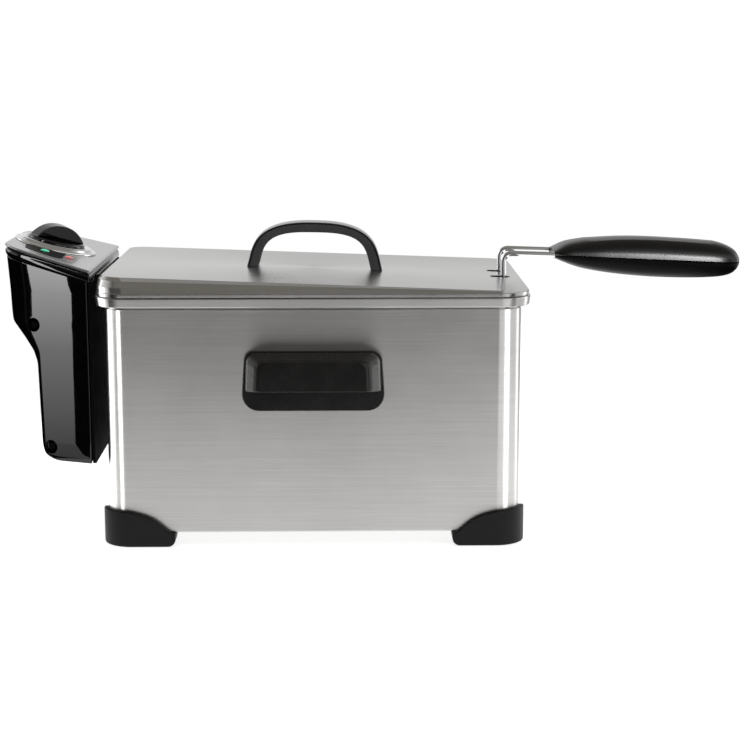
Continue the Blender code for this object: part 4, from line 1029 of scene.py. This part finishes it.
def graded(tree, source, out, stops, emitter, tint=(1.0, 1.0, 1.0)):
    """Emitter whose strength follows the source between stops; weak stops take the tint."""
    low = stops[0][0]
    high = stops[-1][0]
    node = tree.nodes.new("ShaderNodeValToRGB")
    peak = max(value for at, value in stops)
    for at, value in stops[1:-1]:
        node.color_ramp.elements.new((at - low) / (high - low))
    for element, (at, value) in zip(node.color_ramp.elements, stops):
        hue = tint if value < 0.5 else (1.0, 1.0, 1.0)
        element.color = (*(value / peak * part for part in hue), 1.0)
    link(tree, ramp(tree, source, out, 0.0, 1.0, low, high), "Result", node, "Fac")
    glow = tree.nodes.new(emitter)
    glow.inputs["Strength"].default_value = peak
    link(tree, node, "Color", glow, "Color")
    return glow


def make_strip(name, left, right, stops, receivers):
    """Upright glowing strip that lights the receivers' gloss; stops give its strength by height."""
    left = (left[0] + SHIFT, left[1])
    right = (right[0] + SHIFT, right[1])
    z0 = stops[0][0]
    z1 = stops[-1][0]
    bm = bmesh.new()
    corners = [(*left, z0), (*right, z0), (*right, z1), (*left, z1)]
    bm.faces.new([bm.verts.new(corner) for corner in corners])
    strip = finished(name, bm)
    mat = bpy.data.materials.new(name)
    mat.use_nodes = True
    tree = mat.node_tree
    tree.nodes.remove(tree.nodes["Principled BSDF"])
    coords = tree.nodes.new("ShaderNodeTexCoord")
    split = tree.nodes.new("ShaderNodeSeparateXYZ")
    link(tree, coords, "Object", split, "Vector")
    glow = graded(tree, split, "Z", stops, "ShaderNodeEmission")
    link(tree, glow, "Emission", tree.nodes["Material Output"], "Surface")
    strip.data.materials.append(mat)
    strip.visible_camera = False
    strip.visible_shadow = False
    strip.visible_diffuse = False
    lit = bpy.data.collections.new(name + "_lit")
    for receiver in receivers:
        lit.objects.link(bpy.data.objects[receiver])
    strip.light_linking.receiver_collection = lit


def make_world():
    """White to the camera; a studio with a darker front to everything else."""
    world = bpy.data.worlds.new("studio")
    bpy.context.scene.world = world
    world.use_nodes = True
    tree = world.node_tree
    tree.nodes.clear()
    coords = tree.nodes.new("ShaderNodeTexCoord")
    split = tree.nodes.new("ShaderNodeSeparateXYZ")
    link(tree, coords, "Generated", split, "Vector")
    flip = maths(tree, "MULTIPLY", -1.0)
    link(tree, split, "Y", flip, 0)
    turn = maths(tree, "ARCTAN2")
    link(tree, split, "X", turn, 0)
    link(tree, flip, 0, turn, 1)
    stops = [(math.radians(angle), value) for angle, value in AROUND]
    sides = graded(tree, turn, "Value", stops, "ShaderNodeBackground", (1.0, 0.975, 0.95))
    above = tree.nodes.new("ShaderNodeBackground")
    above.inputs["Color"].default_value = (1.0, 0.95, 0.87, 1.0)
    above.inputs["Strength"].default_value = ABOVE
    lift = ramp(tree, split, "Z", 0.0, 1.0, 0.42, 0.72)
    below = tree.nodes.new("ShaderNodeBackground")
    below.inputs["Strength"].default_value = BELOW
    sink = ramp(tree, split, "Z", 1.0, 0.0, -0.50, -0.30)
    seen = tree.nodes.new("ShaderNodeBackground")
    seen.inputs["Color"].default_value = (1.0, 1.0, 1.0, 1.0)
    path = tree.nodes.new("ShaderNodeLightPath")
    shown = sides
    for factor, out, other in ((lift, "Result", above), (sink, "Result", below),
                               (path, "Is Camera Ray", seen)):
        mix = tree.nodes.new("ShaderNodeMixShader")
        link(tree, factor, out, mix, 0)
        link(tree, shown, 0, mix, 1)
        link(tree, other, 0, mix, 2)
        shown = mix
    link(tree, shown, 0, tree.nodes.new("ShaderNodeOutputWorld"), "Surface")


def make_overhead():
    """Soft light straight above, which gloss does not see."""
    data = bpy.data.lights.new("overhead", "AREA")
    data.size = OVERHEAD_SIDE
    data.energy = OVERHEAD_POWER
    lamp = new_object("overhead", data)
    lamp.location = (0.0, 0.0, OVERHEAD_Z)
    lamp.visible_glossy = False


def make_camera():
    data = bpy.data.cameras.new("camera")
    data.lens = LENS
    camera = new_object("camera", data)
    camera.location = Vector(CAMERA_AT) + Vector((SHIFT, 0.0, 0.0))
    yaw = math.radians(CAMERA_YAW)
    pitch = math.radians(CAMERA_PITCH)
    ahead = Vector((math.sin(yaw) * math.cos(pitch), math.cos(yaw) * math.cos(pitch), -math.sin(pitch)))
    camera.rotation_euler = ahead.to_track_quat("-Z", "Y").to_euler()
    bpy.context.scene.camera = camera


for make in (make_camera, make_housing, make_feet, make_side_grips, make_pan, make_lid, make_lid_handle,
             make_basket, make_socket, make_handle, make_control_shell, make_panel, make_dial, make_element,
             dress_kept, make_floor, make_world):
    make()
# Cards: name, left and right end, strength by height, and what they light
FLANK = [(-0.50, 5.2), (0.0, 5.5), (0.35, 5.2)]
make_strip("side_strip", (-0.787, -0.481), (-0.743, -0.5075),
           [(-0.25, 0.8), (-0.10, 1.0), (0.03, 3.4), (0.14, 8.2), (0.75, 10.5), (1.80, 10.5)],
           ("control_cover", "control_bezel", "dial_knob_moulding"))
make_strip("grip_card", (0.58, -1.48), (0.97, -1.40), [(0.21, 50.0), (0.34, 62.0), (0.43, 50.0)],
           ("grip_moulding_upper",))
make_strip("left_card", (-0.345, -0.125), (-0.298, 0.100), [(-0.05, 3.0), (0.10, 3.1), (0.235, 3.0)],
           STEEL_SHEETS)
make_strip("left_flank_card", (-1.04, -0.60), (-0.80, -0.89), FLANK, HOUSING)
make_strip("right_flank_card", (0.80, -0.89), (1.04, -0.60), FLANK, HOUSING)
make_overhead()
bpy.context.scene.view_settings.view_transform = "Standard"
